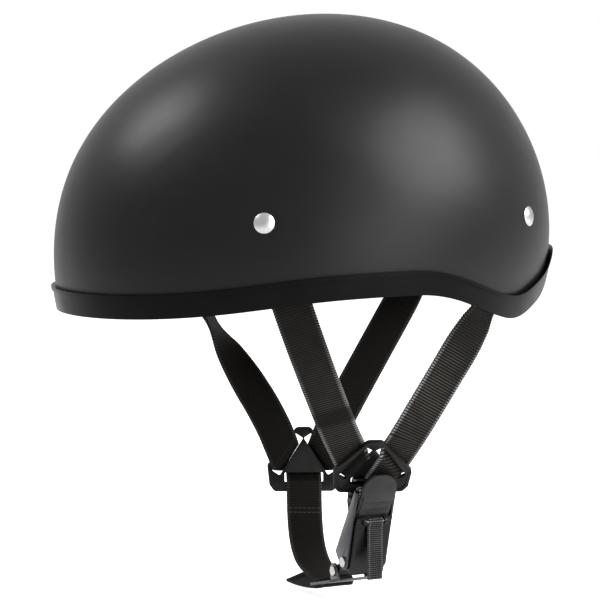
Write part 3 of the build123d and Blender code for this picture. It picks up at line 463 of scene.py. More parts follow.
# %% Finishes of the nodes that stay
KEPT = {
    "outer_shell": "matt_shell_coat", "edge_trim": "trim_rubber", "impact_liner": "beaded_foam",
    "lever_spring": "spring_wire", "lever_pin": "pin_metal", "tongue_pin": "pin_metal",
    "ribbon_pin": "pin_metal",
}
for corner in ("left_front", "left_rear", "right_front", "right_rear"):
    KEPT[corner + "_rivet"] = "satin_rivet"
    KEPT[corner + "_washer"] = KEPT[corner + "_anchor_plate"] = "plated_steel"
for node, finish in KEPT.items():
    paint(nodes[node].data, FINISHES[finish])
print("Nodes with a new finish:", len(KEPT))

# %% [markdown]
# ## The dome
#
# The shell's skin is an ellipsoid with gentle swellings, given by the way that each point of it faces. One
# formula gives every layer, because moving a point along its own facing makes a parallel skin. The lining
# and the straps both start from it.

# %% Sizes of the dome and the rim, in millimetres
HALF_WIDTH = 112.0
HALF_LENGTH = 136.0
HALF_HEIGHT = 129.5
CENTRE_BACK = 0.6
CENTRE_UP = 30.0
CROWN_LEAN = 6.0
BROW_SWELL = 1.4
NAPE_SWELL = 1.5
CROWN_FLATTEN = 1.5
ARCH_RISE = 14.3
RIM_SHARES = (
    (-1.06, 0.0), (-0.82, 0.08), (-0.47, 0.43), (-0.15, 0.84), (0.17, 1.0), (0.30, 0.97), (0.47, 0.57),
    (0.64, -0.04), (0.70, -0.17), (0.76, -0.13), (0.84, 0.18), (0.91, 0.55), (0.95, 0.93), (1.06, 1.35),
)
print("Dome:", 2 * HALF_WIDTH, "by", 2 * HALF_LENGTH, "mm before its swellings")

# %% Dome formula
def dome_point(normal, offset):
    """The skin's point that faces the given way, moved out by an offset."""
    x, y, z = normal
    size = Vector((x * HALF_WIDTH, y * HALF_LENGTH, z * HALF_HEIGHT)).length
    point = Vector((x * HALF_WIDTH**2, y * HALF_LENGTH**2, z * HALF_HEIGHT**2)) / size
    point += Vector((0, CENTRE_BACK, CENTRE_UP))
    side = complex(y, z)
    brow_and_nape = complex(BROW_SWELL, -NAPE_SWELL)
    for order, swelling in ((2, complex(0, -CROWN_LEAN)), (3, brow_and_nape), (4, complex(0, CROWN_FLATTEN))):
        height = (swelling * side**order).real
        slope = order * swelling * side ** (order - 1)
        point += normal * ((1 - order) * height) + Vector((0, slope.real, -slope.imag))
    return point + normal * offset


def facing(turn, rise):
    """Unit way turned about the crown from +X, and raised, both in degrees."""
    turn = math.radians(turn)
    rise = math.radians(rise)
    return Vector((math.cos(rise) * math.cos(turn), math.cos(rise) * math.sin(turn), math.sin(rise)))


def rim_height(back):
    """Height of the rim's curve at a place front to back."""
    share = back / HALF_LENGTH
    for (start, low), (end, high) in zip(RIM_SHARES, RIM_SHARES[1:]):
        if share <= end or end == RIM_SHARES[-1][0]:
            part = min(1, max(0, (share - start) / (end - start)))
            return ARCH_RISE * (low + (high - low) * part * part * (3 - 2 * part))


print("Crown at", round(dome_point(facing(0, 90), 0).z, 1), "mm, rim over the ear at", ARCH_RISE, "mm")

# %% [markdown]
# ## Comfort lining
#
# Thin knitted cloth lies over the foam. It is drawn as a grid round the crown: each column runs from the
# crown down to the rim, whose height is found by halving steps. A Solidify modifier would give it its
# thickness, but the grid's two skins are made here directly, so the hem can be rolled.

# %% Lining
SHELL_WALL = 3.0
LINER_WALL = 22.0
LINING_THICK = 1.0
SOFT_GAP = 0.3
TRIM_BASE = 1.8
HEM_RISE = 0.4
TOP_RISE = 89.5
HEM_ROLL = 0.25
ROLLED_ROWS = 2


def rim_rise(turn, depth, low=-35.0, high=30.0, halvings=24):
    """The rise, in degrees, at which the skin at that depth meets the rim, sought between low and high."""
    for _ in range(halvings):
        middle = (low + high) / 2
        point = dome_point(facing(turn, middle), -depth)
        if point.z < rim_height(point.y) + TRIM_BASE:
            low = middle
        else:
            high = middle
    return high


def wall(shape, rings):
    """Faces between closed rings of points, and one face over each end."""
    for lower, upper in zip(rings, rings[1:]):
        for index in range(len(lower)):
            after = (index + 1) % len(lower)
            shape.faces.new((lower[index], lower[after], upper[after], upper[index]))
    shape.faces.new(list(reversed(rings[0])))
    shape.faces.new(rings[-1])
    bmesh.ops.recalc_face_normals(shape, faces=shape.faces)


def make_lining(columns=180, rows=44):
    """Rings of points up the outer skin and up the inner one, joined round the hem."""
    depth = SHELL_WALL + LINER_WALL + SOFT_GAP
    shape = bmesh.new()
    turns = [360.0 * column / columns for column in range(columns)]
    hem = [rim_rise(turn, depth) + HEM_RISE for turn in turns]
    outer, inner = [], []
    for row in range(rows):
        roll = max(0.0, 1 - row / ROLLED_ROWS) * HEM_ROLL
        ways = [facing(turn, low + (TOP_RISE - low) * row / (rows - 1)) for turn, low in zip(turns, hem)]
        for skin, offset in ((outer, -depth - roll), (inner, -depth - LINING_THICK + roll)):
            skin.append([shape.verts.new(dome_point(way, offset) * MM) for way in ways])
    wall(shape, outer[::-1] + inner)
    return shape


lining = piece_from(make_lining(), "lining_cloth_skin", FINISHES["lining_cloth"])
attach(lining, "helmet")
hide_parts("comfort_lining")
print("Lining:", len(lining.data.polygons), "faces")

# %% [markdown]
# ## Comfort pads
#
# Each pad is a foam core in a sewn cover, so its faces crown between the seams. A copy of the CAD pad is
# remeshed into even small faces, and a short Cloth simulation blows it up a little, as real cover cloth
# stretches over foam. A cap on how far a point may move keeps each pad clear of its neighbours.

# %% Tools for the pads
PADS = ("crown_pad", "brow_pad", "nape_pad", "left_side_pad", "right_side_pad")
PAD_CAP = 1.6
PAD_SHRINK = 0.6
PAD_FACE_SIZE = 2.2
PAD_PRESSURE = 4.0
CLOTH_FRAMES = 20


def baked(piece):
    """Turns a piece's modifiers into plain mesh and removes them."""
    depsgraph = bpy.context.evaluated_depsgraph_get()
    mesh = bpy.data.meshes.new_from_object(piece.evaluated_get(depsgraph))
    piece.modifiers.clear()
    piece.data = mesh


def swollen(piece):
    """Runs a short pressure simulation on a piece and caps how far each point may move."""
    before = [vertex.co.copy() for vertex in piece.data.vertices]
    cloth = modify(piece, "Cloth", "CLOTH")
    cloth.settings.use_pressure = True
    cloth.settings.uniform_pressure_force = PAD_PRESSURE
    cloth.settings.effector_weights.gravity = 0.0
    cloth.settings.quality = 6
    for number in range(CLOTH_FRAMES):
        bpy.context.scene.frame_set(number + 1)
    baked(piece)
    bpy.context.scene.frame_set(1)
    for vertex, start in zip(piece.data.vertices, before):
        moved = vertex.co - start
        if moved.length > PAD_CAP * MM:
            vertex.co = start + moved.normalized() * PAD_CAP * MM


# %% Pads
for node in PADS:
    pad = new_piece(node + "_cover", merged_mesh(node))
    modify(pad, "Even Faces", "REMESH", mode="VOXEL", voxel_size=PAD_FACE_SIZE * MM)
    baked(pad)
    modify(pad, "Shrink", "DISPLACE", mid_level=0.0, strength=-PAD_SHRINK * MM)
    baked(pad)
    swollen(pad)
    modify(pad, "Smooth", "CORRECTIVE_SMOOTH", use_only_smooth=True, iterations=4)
    modify(pad, "Finer", "SUBSURF", levels=1, render_levels=1)
    baked(pad)
    smooth(pad.data)
    paint(pad.data, FINISHES["pad_cloth"])
    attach(pad, "helmet")
    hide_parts(node)
    print(pad.name, len(pad.data.polygons), "faces")


# %% [markdown]
# ## Webbing
#
# A strap is drawn as rows of points across it, each with the way that its face looks there. Three small
# tools give those rows: one follows a smooth run of places, one a folded line on a drawing board, and one
# the slanted slot of a divider. The rows then become a closed strip with round selvedges.

# %% Drawing boards
class Board:
    """A drawing board in space: a middle and three square ways."""

    def __init__(self, middle, x_way, z_way):
        self.middle = Vector(middle)
        self.x = Vector(x_way).normalized()
        self.z = Vector(z_way).normalized()
        self.y = self.z.cross(self.x)

    def way(self, x, y, z=0.0):
        """The way with these parts along the board's own ways."""
        return self.x * x + self.y * y + self.z * z

    def at(self, x, y, z=0.0):
        """The place this far from the middle."""
        return self.middle + self.way(x, y, z)

    def local(self, point):
        """How far a place is from the middle along each of the board's ways."""
        away = point - self.middle
        return Vector((away.dot(self.x), away.dot(self.y), away.dot(self.z)))


def mirrored(point):
    """A place or a way on the helmet's other side."""
    return Vector((-point.x, point.y, point.z))


# %% Smooth runs
FREE_COUNT = 6


def eased(start, start_lean, end, end_lean, part):
    """A smooth blend from start to end, which sets out and arrives with the given leans."""
    rest = 1 - part
    return (
        start * (rest**2 * (1 + 2 * part)) + end * (part**2 * (1 + 2 * rest))
        + start_lean * (part * rest**2) - end_lean * (part**2 * rest)
    )


def curve_place(start, start_way, end, end_way, pull, part):
    """A place on a smooth curve that leaves and arrives along the given ways."""
    reach = (end - start).length * pull
    return eased(start, start_way * reach, end, end_way * reach, part)


def smooth_run(start, start_way, end, end_way, pull):
    """The few places that a free run of strap passes."""
    parts = [index / FREE_COUNT for index in range(FREE_COUNT + 1)]
    return [curve_place(start, start_way, end, end_way, pull, part) for part in parts]


def ways_along(centres):
    """The ways of a smooth line through a row of places."""
    legs = [after - before for before, after in zip(centres, centres[1:])]
    ways = []
    for before, after in zip(legs, legs[1:]):
        share = after.length / before.length
        ways.append((before * share + after / share).normalized())
    first = (legs[0].normalized() * 2 - ways[0]).normalized()
    last = (legs[-1].normalized() * 2 - ways[-1]).normalized()
    return [first] + ways + [last]


def blended(start, end, turn_share=1.0):
    """Ways that turn smoothly from start to end within a share of the run."""
    turns = []
    for index in range(FREE_COUNT + 1):
        part = min(1, index / FREE_COUNT / turn_share)
        turns.append(start + (end - start) * (part**2 * (3 - 2 * part)))
    return turns


print("A free run passes", FREE_COUNT + 1, "places")

# %% Rows of points across a strap
WEB_WIDTH = 20.0
WEB_THICK = 1.6
NEAR_STEP = 0.3
COLUMNS = 15
NEARBY = 0.05
NEARBY_PART = 0.01


def column_places(width):
    """Places across a strap, between the middles of its round selvedges."""
    half = (width - WEB_THICK) / 2
    return [half * (2 * index / (COLUMNS - 1) - 1) for index in range(COLUMNS)]


def straight_row(centre, way, across, travelled, width=WEB_WIDTH):
    """One row square to the way. Each entry is the place, the face's way and the distance travelled."""
    square = (across - way * across.dot(way)).normalized()
    face = square.cross(way)
    return [(centre + square * place, face, travelled) for place in column_places(width)]


def run_rows(centres, acrosses, ways, travelled):
    """Rows along a smooth line through a row of places, and the distance travelled."""
    rows = []
    ends_doubled = [acrosses[0], *acrosses, acrosses[-1]]
    leans = [(after - before) / 2 for before, after in zip(ends_doubled, ends_doubled[2:])]
    for index, (start, end) in enumerate(zip(centres, centres[1:])):
        curve = (start, ways[index], end, ways[index + 1], 1.0)
        turning = (acrosses[index], leans[index], acrosses[index + 1], leans[index + 1])
        count = max(2, round((end - start).length / NEAR_STEP))
        last = start
        for number in range(count):
            part = number / count
            place = curve_place(*curve, part)
            way = (curve_place(*curve, part + NEARBY_PART) - place).normalized()
            travelled += (place - last).length
            last = place
            rows.append(straight_row(place, way, eased(*turning, part), travelled))
        travelled += (end - last).length
    return rows, travelled


print("Each row has", COLUMNS, "points across", WEB_WIDTH, "mm")

# %% Rows along a folded line
WEB_BEND = 1.4


def rounded_line(points, radius):
    """Close places along straight runs whose corners are rounded."""
    corners = [Vector(point) for point in points]
    places = [corners[0]]
    for before, corner, after in zip(corners, corners[1:], corners[2:]):
        into = (corner - before).normalized()
        out = (after - corner).normalized()
        turn = into.angle(out)
        reach = radius * math.tan(turn / 2)
        start = corner - into * reach
        middle = start + (out - into * into.dot(out)).normalized() * radius
        add_straight(places, start)
        count = max(3, round(turn * radius / NEAR_STEP))
        for index in range(1, count + 1):
            angle = turn * index / count
            arm = (start - middle) * math.cos(angle) + into * radius * math.sin(angle)
            places.append(middle + arm)
    add_straight(places, corners[-1])
    return places


def add_straight(places, end):
    """Adds close places from the last one straight to the end."""
    start = places[-1]
    count = max(1, round((end - start).length / NEAR_STEP))
    for index in range(1, count + 1):
        places.append(start.lerp(end, index / count))


def folded_rows(board, points, across, travelled, width=WEB_WIDTH, flip=None, radius=WEB_BEND):
    """Rows along a rounded line on a board. flip mirrors them to the other side."""
    places = rounded_line(points, radius)
    rows = []
    for before, place, after in zip(places[:1] + places, places, places[1:] + places[-1:]):
        centre = board.at(*place)
        way = board.way(*(after - before)).normalized()
        if flip:
            centre, way = flip(centre), flip(way)
        travelled += (place - before).length
        rows.append(straight_row(centre, way, across, travelled, width))
    return rows, travelled


print("Corners are rounded to", WEB_BEND, "mm, with a place every", NEAR_STEP, "mm")

# %% [markdown]
# ### Through a slanted slot
#
# A strap comes down behind the divider, goes through a slanted slot and lies on the face. On the divider's
# own board the strap is a straight band, and its height is a smooth step from behind the plate to in front
# of it, where it crosses the slot. The back strap lies over the middle, and the front one is cut beside it.

# %% Where a strap crosses a divider
SLOT_LEAN = math.radians(32.8)
SLOT_SIDE = 9.2
SLOT_UP = 2.8
WEB_LEVEL = 2.2
STRAP_LEAN = math.radians(22.0)
STRAP_LEAD = 17.0
STRAP_SLIP = 1.8
MITRE_GAP = 0.3
TUCK = 2.6
CHIN_START = 6.9
STEP_SPREAD = 1.15


def crossing_start(side):
    """Start and way of a strap on its divider's board, and its slot's middle. side is -1 at the front."""
    way = Vector((-side * math.sin(STRAP_LEAN), -math.cos(STRAP_LEAN), 0))
    middle = Vector((side * SLOT_SIDE, SLOT_UP, 0))
    down = Vector((side * math.sin(SLOT_LEAN), -math.cos(SLOT_LEAN), 0))
    return middle + down * STRAP_SLIP - way * STRAP_LEAD, way, middle


def step_height(side, place, middle):
    """Height of the strap above the divider's middle plane, at a place on its board."""
    away = place - middle
    past = -side * (away.x * math.cos(SLOT_LEAN) + side * away.y * math.sin(SLOT_LEAN))
    share = max(-1.0, min(1.0, past / (STEP_SPREAD * WEB_LEVEL)))
    return WEB_LEVEL * math.sin(share * math.pi / 2)


def cut_distance(side, start, way, edge):
    """How far along its way a strap's thread runs before its cut end. edge is where the thread starts."""
    reach = (-CHIN_START + MITRE_GAP - edge.y) / way.y
    if side > 0:
        return reach
    mate_across = Vector((-way.y, -way.x, 0))
    off = (edge - mirrored(start)).dot(mate_across)
    limit = math.copysign(WEB_WIDTH / 2 + MITRE_GAP, off)
    meet = (limit - off) / way.dot(mate_across)
    beyond = Vector((-side * math.cos(SLOT_LEAN), -math.sin(SLOT_LEAN), 0))
    tucked = (TUCK + beyond.dot(Vector((side * SLOT_SIDE, SLOT_UP, 0)) - edge)) / beyond.dot(way)
    return min(reach, meet, tucked) if meet > 0 else min(reach, tucked)


print("A strap's straight run starts", round(crossing_start(1)[0].y, 1), "mm above the divider's middle")

# %% Rows through a divider's slanted slot
def crossing_rows(side, board, across, travelled):
    """Rows from behind a divider, through its slot, to the cut end on its face."""
    start, way, middle = crossing_start(side)
    square = Vector((-way.y, way.x, 0))
    if board.way(*square).dot(across) < 0:
        square = -square

    def place_at(offset, distance):
        flat = start + square * offset + way * distance
        return board.at(flat.x, flat.y, step_height(side, flat, middle))

    offsets = column_places(WEB_WIDTH)
    widen = WEB_WIDTH / 2 / offsets[-1]
    ends = [cut_distance(side, start, way, start + square * (offset * widen)) for offset in offsets]
    count = round(max(ends) / NEAR_STEP)
    rows = []
    for index in range(count + 1):
        row = []
        for offset, end in zip(offsets, ends):
            distance = end * index / count
            place = place_at(offset, distance)
            ahead = place_at(offset, distance + NEARBY) - place
            beside = place_at(offset + NEARBY, distance) - place
            row.append((place, beside.cross(ahead).normalized(), travelled + distance))
        rows.append(row)
    return rows


# %% [markdown]
# ### From rows to ribbed strips
#
# The strip is closed: a front skin, a back skin and round selvedges. Geometry Nodes then raise the ribs. The
# tree reads how far along the strap each point lies and pushes it out along its normal by a rounded wave,
# a little more at the selvedge, where the thread turns round and stands out as a scalloped edge.

# %% Strips with attributes
SELVEDGE_TURNS = (math.radians(45.0), 0.0, math.radians(-45.0))
SELVEDGE_SHARE = 1.1


def ring_points(row, places, thick):
    """Points round one row: front, selvedge, back, selvedge. Each has its along, across and edge values."""
    ring = []
    for skin, last, inner in ((1, -1, -2), (-1, 0, 1)):
        for (point, face, travelled), place in list(zip(row, places))[::skin]:
            edge = float(place in (places[0], places[-1]))
            ring.append((point + face * skin * thick / 2, travelled, place, edge))
        point, face, travelled = row[last]
        outward = (point - row[inner][0]).normalized()
        for turn in SELVEDGE_TURNS:
            way = outward * math.cos(turn) + face * (math.sin(turn) * skin)
            ring.append((point + way * thick / 2, travelled, places[last] * SELVEDGE_SHARE, 1.0))
    return ring


def strip_piece(name, rows, width, thick, finish, shades):
    """A closed strip, whose points carry where they lie and how much they are in the shade."""
    shape = bmesh.new()
    layers = [shape.verts.layers.float.new(label) for label in ("along", "across", "edge", "shade")]
    places = column_places(width)
    rings = []
    for row, shade in zip(rows, shades):
        ring = []
        for point, *values in ring_points(row, places, thick):
            ring.append(shape.verts.new(point * MM))
            for layer, value in zip(layers, (*values, shade)):
                ring[-1][layer] = value
        rings.append(ring)
    wall(shape, rings)
    return piece_from(shape, name, finish)


# %% Geometry Nodes that raise the ribs
def real_and_painted(tree, source, sink, shape):
    """Ends a Geometry Nodes tree: instances become plain mesh, and all of it gets the finish."""
    real = add(tree, "GeometryNodeRealizeInstances", {0: shape}).outputs[0]
    painted = add(tree, "GeometryNodeSetMaterial", {"Geometry": real, "Material": source["Finish"]})
    feed(tree, sink, {0: painted.outputs[0]})


def build_rib_tree(fullness=0.8):
    """Pushes a strip out by rounded waves along it, and keeps how high on its rib each point is."""
    inputs = {"Geometry": SHAPE, "Rib Pitch": NUMBER, "Rib Height": NUMBER, "Scallop": NUMBER}
    tree, source, sink = new_group(
        "Webbing Ribs", {**inputs, "Finish": "NodeSocketMaterial"}, {"Geometry": SHAPE}, "GeometryNodeTree"
    )
    along, edge = (
        add(tree, "GeometryNodeInputNamedAttribute", {"Name": label}, data_type="FLOAT").outputs[0]
        for label in ("along", "edge")
    )
    turns = math_node(tree, "DIVIDE", along, source["Rib Pitch"])
    wave = math_node(tree, "SINE", math_node(tree, "MULTIPLY", turns, math.pi))
    rib = math_node(tree, "POWER", math_node(tree, "ABSOLUTE", wave), fullness)
    extra = math_node(tree, "MULTIPLY_ADD", edge, source["Scallop"], 1.0)
    height = math_node(tree, "MULTIPLY", math_node(tree, "MULTIPLY", rib, extra), source["Rib Height"])
    saved = add(tree, "GeometryNodeStoreNamedAttribute", {
        "Geometry": source["Geometry"], "Name": "rib", "Value": rib,
    }, data_type="FLOAT", domain="POINT").outputs[0]
    normal = add(tree, "GeometryNodeInputNormal").outputs[0]
    push = add(tree, "ShaderNodeVectorMath", {0: normal, "Scale": height}, operation="SCALE").outputs[0]
    moved = add(tree, "GeometryNodeSetPosition", {"Geometry": saved, "Offset": push}).outputs[0]
    real_and_painted(tree, source, sink, moved)
    return tree


RIB_TREE = build_rib_tree()
print("Rib tree:", len(RIB_TREE.nodes), "nodes")


def grown(piece, tree, **values):
    """Runs a Geometry Nodes tree on a piece with the given inputs, and keeps the result as plain mesh."""
    modifier = modify(piece, tree.name, "NODES", node_group=tree)
    sockets = {item.name: item.identifier for item in tree.interface.items_tree if item.in_out == "INPUT"}
    for label, value in values.items():
        modifier[sockets[label.replace("_", " ")]] = value
    baked(piece)


# %% From rows to a finished strap
RIB_PITCH = 1.5
NEAR_RIB = 0.22
FAR_RIB = 0.12
RIB_SUNK = 1.2


def ribbed(name, rows, finish, replaced, width=WEB_WIDTH, thick=WEB_THICK, pitch=RIB_PITCH, height=NEAR_RIB,
           body="helmet", shades=None):
    """A finished strap: strip, ribs, finish and place in the frame. The ribs add to the strip's thickness."""
    finish = FINISHES[finish]
    shades = shades or [0.0] * len(rows)
    piece = strip_piece(name, rows, width, thick - RIB_SUNK * height, finish, shades)
    grown(piece, RIB_TREE, Rib_Pitch=pitch, Rib_Height=height * MM, Scallop=1.0, Finish=finish)
    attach(piece, body)
    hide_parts(replaced)
    print(name, "length", round(rows[-1][0][2]), "mm,", len(piece.data.polygons), "faces")


# %% [markdown]
# ### The four upper straps
#
# Each strap starts above its rivet, lies against the inside of the shell, leaves it at the rim, and turns
# on its way down to lie flat on the divider. The right side is drawn as if on the left and then mirrored.
# On the left, pairs of a height and a shade say where painted shade darkens the weave: near the shell, in a
# plain band part way down, and on the front strap's cut end. The right straps get the darker copy of the
# webbing, whose colours paint shade into them.

# %% Ways and runs of the upper straps
STRAP_DEPTH = 6.0
STRAP_TOP = 9.0
RUN_COUNT = 4
UP = Vector((0, 0, 1))


def level_ways(yaw):
    """The level ways out and back of a piece that is turned about the upright, in degrees."""
    yaw = math.radians(yaw)
    return Vector((math.cos(yaw), math.sin(yaw), 0)), Vector((-math.sin(yaw), math.cos(yaw), 0))


def divider_board(place, pitch, yaw):
    """A board on a divider: x to the back, y up, z out of its face."""
    out, back = level_ways(yaw)
    pitch = math.radians(pitch)
    return Board(place, back, out * math.cos(pitch) - UP * math.sin(pitch))


def inside_run(rivet, leave):
    """The strap's middle line down the inside of the shell, and the ways its face looks."""
    run = (dome_point(facing(*rivet), 0) - dome_point(facing(*leave), 0)).length
    centres = []
    faces = []
    for part in [-STRAP_TOP / run] + [index / RUN_COUNT for index in range(RUN_COUNT + 1)]:
        turn = rivet[0] + part * (leave[0] - rivet[0])
        faces.append(facing(turn, rivet[1] + part * (leave[1] - rivet[1])))
        centres.append(dome_point(faces[-1], -STRAP_DEPTH))
    return centres, faces


# %% Rows of an upper strap
FRONT_PULL = 0.6
REAR_PULL = 0.3
FRONT_TURN = 0.6
REAR_TURN = 0.35
NO_TWIST = (0,) * (FREE_COUNT + 1)


def upper_rows(board, side, rivet, leave, twist=NO_TWIST):
    """Rows from above a rivet to the strap's cut end. twist turns its free run, in degrees."""
    centres, faces = inside_run(rivet, leave)
    acrosses = [face.cross(centres[0] - centres[-1]).normalized() for face in faces]
    start, way, middle = crossing_start(side)
    end = board.at(start.x, start.y, -WEB_LEVEL)
    end_way = board.way(*way)
    end_across = board.way(-way.y, way.x)
    if end_across.dot(acrosses[-1]) < 0:
        end_across = -end_across
    leave_way = (centres[-1] - centres[-2]).normalized()
    free = smooth_run(centres[-1], leave_way, end, end_way, FRONT_PULL if side < 0 else REAR_PULL)
    turns = blended(acrosses[-1], end_across, FRONT_TURN if side < 0 else REAR_TURN)
    for index, (along, angle) in enumerate(zip(ways_along(free), twist)):
        turns[index] = Quaternion(along, math.radians(angle)) @ turns[index]
    line = centres + free[1:]
    rows, travelled = run_rows(line, acrosses + turns[1:], ways_along(line), 0.0)
    return rows + crossing_rows(side, board, end_across, travelled)


def mirrored_rows(rows):
    """The same rows on the helmet's other side."""
    return [[(mirrored(point), mirrored(face), travelled) for point, face, travelled in row] for row in rows]


# %% Shades by height
def shades_by_height(rows, steps):
    """How much each row is in the shade, from pairs of a height in millimetres and a shade."""
    shades = []
    for row in rows:
        height = row[len(row) // 2][0].z
        for (upper, shade), (lower, deeper) in zip(steps, steps[1:]):
            if height >= lower:
                break
        share = max(0.0, min(1.0, (upper - height) / (upper - lower)))
        shades.append(shade + (deeper - shade) * share)
    return shades


# Painted shade by height: dark near the shell, a plain dark band part way down, dark on the cut end past the
# slot.
FRONT_SHADES = (
    (0, 0.85), (-14, 0.8), (-40, 0.35), (-46, 0.4), (-48, 0.85), (-54, 0.85), (-56, 0.1), (-77, 0.1),
    (-79, 0.8), (-110, 0.8),
)
REAR_SHADES = ((0, 0.85), (-8, 0.8), (-34, 0.0), (-110, 0.0))

# %% The four upper straps
LEFT_DIVIDER = Vector((60.3, 23.6, -80.2))
LEFT_PITCH_AND_YAW = (37.0, -10.0)
RIGHT_DIVIDER = Vector((64.0, 19.3, -95.5))
RIGHT_PITCH_AND_YAW = (12.0, 12.0)
FRONT_RIVET = (-17.7, 9.8)
REAR_RIVET = (44.6, 5.6)
LEFT_FRONT_EXIT = (-11.1, -8.0)
LEFT_REAR_EXIT = (33.6, -15.0)
RIGHT_FRONT_EXIT = (-14.0, -8.0)
RIGHT_REAR_EXIT = (38.5, -15.0)
RIGHT_FRONT_TWIST = (0, 35, 60, 35, 10, 0, 0)
LEFT_BOARD = divider_board(LEFT_DIVIDER, *LEFT_PITCH_AND_YAW)
RIGHT_BOARD = divider_board(RIGHT_DIVIDER, *RIGHT_PITCH_AND_YAW)
LEFT_STRAPS = (
    ("left_front", -1, FRONT_RIVET, LEFT_FRONT_EXIT, FRONT_SHADES),
    ("left_rear", 1, REAR_RIVET, LEFT_REAR_EXIT, REAR_SHADES),
)
RIGHT_STRAPS = (
    ("right_front", -1, FRONT_RIVET, RIGHT_FRONT_EXIT, RIGHT_FRONT_TWIST),
    ("right_rear", 1, REAR_RIVET, RIGHT_REAR_EXIT, NO_TWIST),
)
for name, side, rivet, leave, steps in LEFT_STRAPS:
    rows = upper_rows(LEFT_BOARD, side, rivet, leave)
    shades = shades_by_height(rows, steps)
    ribbed(name + "_webbing", rows, "ribbed_webbing", name + "_strap", shades=shades)
# Painted shade: the right straps get the darker copy of the webbing.
for name, side, rivet, leave, twist in RIGHT_STRAPS:
    rows = mirrored_rows(upper_rows(RIGHT_BOARD, side, rivet, leave, twist))
    ribbed(name + "_webbing", rows, "shaded_far_webbing", name + "_strap", height=FAR_RIB)


# %% [markdown]
# ### The two chin straps
#
# The left one comes out of its divider's level slot and wraps the end bar of the buckle. The right one
# passes under the chin, wraps the bar of the strap plate, and ends in a loose tail.

# %% Boards of the buckle and the strap plate
LEVER_PIN = Vector((47.8, 22.0, -133.0))
BUCKLE_YAW = 12.0
BUCKLE_PITCH = 31.2
TONGUE_PIN_UNDER = 13.2
TONGUE_PIN_IN = 7.5
PLATE_SLOPE = 14.0


def buckle_board():
    """A board on the lever's pin: x up the buckle, y out of its face, z to the back."""
    out, back = level_ways(BUCKLE_YAW)
    pitch = math.radians(BUCKLE_PITCH)
    return Board(LEVER_PIN, out * math.sin(pitch) + UP * math.cos(pitch), back)


def plate_board(buckle):
    """A board on the tongue's pin: x out along the strap plate, y up, z to the front."""
    out, back = level_ways(BUCKLE_YAW)
    slope = math.radians(PLATE_SLOPE)
    along = out * math.cos(slope) + UP * math.sin(slope)
    return Board(buckle.at(-TONGUE_PIN_UNDER, -TONGUE_PIN_IN), along, -back)


BUCKLE = buckle_board()
PLATE = plate_board(BUCKLE)
print("Tongue's pin at", [round(value, 1) for value in PLATE.middle], "mm")

# %% Left chin strap
DIVIDER_HALF_HEIGHT = 18.5
LEVEL_SLOT_DOWN = 10.4
BAR_CLEAR = 1.2
FLOOR_DEPTH = 10.0
CASE_WALL = 1.2
CASE_REACH = 41.0
CASE_SLOT_UP = 25.0
ARRIVE_SHARE = 0.4
LOOP_END = 33.0
FOOT = DIVIDER_HALF_HEIGHT + BAR_CLEAR
SLOT_LINE = [
    (-CHIN_START, WEB_LEVEL, 0), (-LEVEL_SLOT_DOWN + WEB_LEVEL, WEB_LEVEL, 0),
    (-LEVEL_SLOT_DOWN - WEB_LEVEL, -WEB_LEVEL, 0), (-FOOT, -WEB_LEVEL, 0),
]


def left_chin_rows(divide, buckle):
    """Rows through the divider's level slot, down from it, and round the end bar of the buckle."""
    edge_on = Board(divide.middle, divide.y, divide.x)
    rows, travelled = folded_rows(edge_on, SLOT_LINE, divide.x, 0.0)
    start = divide.at(0, -FOOT, -WEB_LEVEL)
    behind = -FLOOR_DEPTH - SOFT_GAP - WEB_THICK / 2
    front = -FLOOR_DEPTH + CASE_WALL + SOFT_GAP + WEB_THICK / 2
    around = CASE_REACH + SOFT_GAP + WEB_THICK / 2
    half = (front - behind) / 2
    turn = Vector((CASE_SLOT_UP - half, behind, 0))
    arrive = turn.lerp(buckle.local(start), ARRIVE_SHARE)
    arrive.z = 0
    end = buckle.at(*arrive)
    end_way = (buckle.at(*turn) - end).normalized()
    free = smooth_run(start, -divide.y, end, end_way, 1.0)
    acrosses = blended(divide.x, buckle.z)
    between, travelled = run_rows(free, acrosses, ways_along(free), travelled)
    wrap = [arrive, turn, (CASE_SLOT_UP + half, front, 0), (around, front, 0), (around, behind, 0)]
    wrapped, _ = folded_rows(buckle, wrap + [(LOOP_END, behind, 0)], buckle.z, travelled)
    return rows[:-1] + between + wrapped


left_chin = left_chin_rows(LEFT_BOARD, BUCKLE)
ribbed("left_chin_webbing", left_chin, "ribbed_webbing", "left_chin_strap")

# %% Right chin strap
PLATE_OUTER = 3.0
PLATE_LENGTH = 28.0
PLATE_THICK = 1.4
PLATE_DROP = 4.7
PLATE_BAR = 4.4
PLATE_SLOT_WIDTH = 4.6
ARRIVE_RUN = 12.0
ARRIVE_RISE = 5.5
CHIN_PULL = 0.8
TAIL_LENGTH = 36.0
TAIL_RISE = 5.0
TAIL_TURN = 16.0
TAIL_LIFT = 3.5


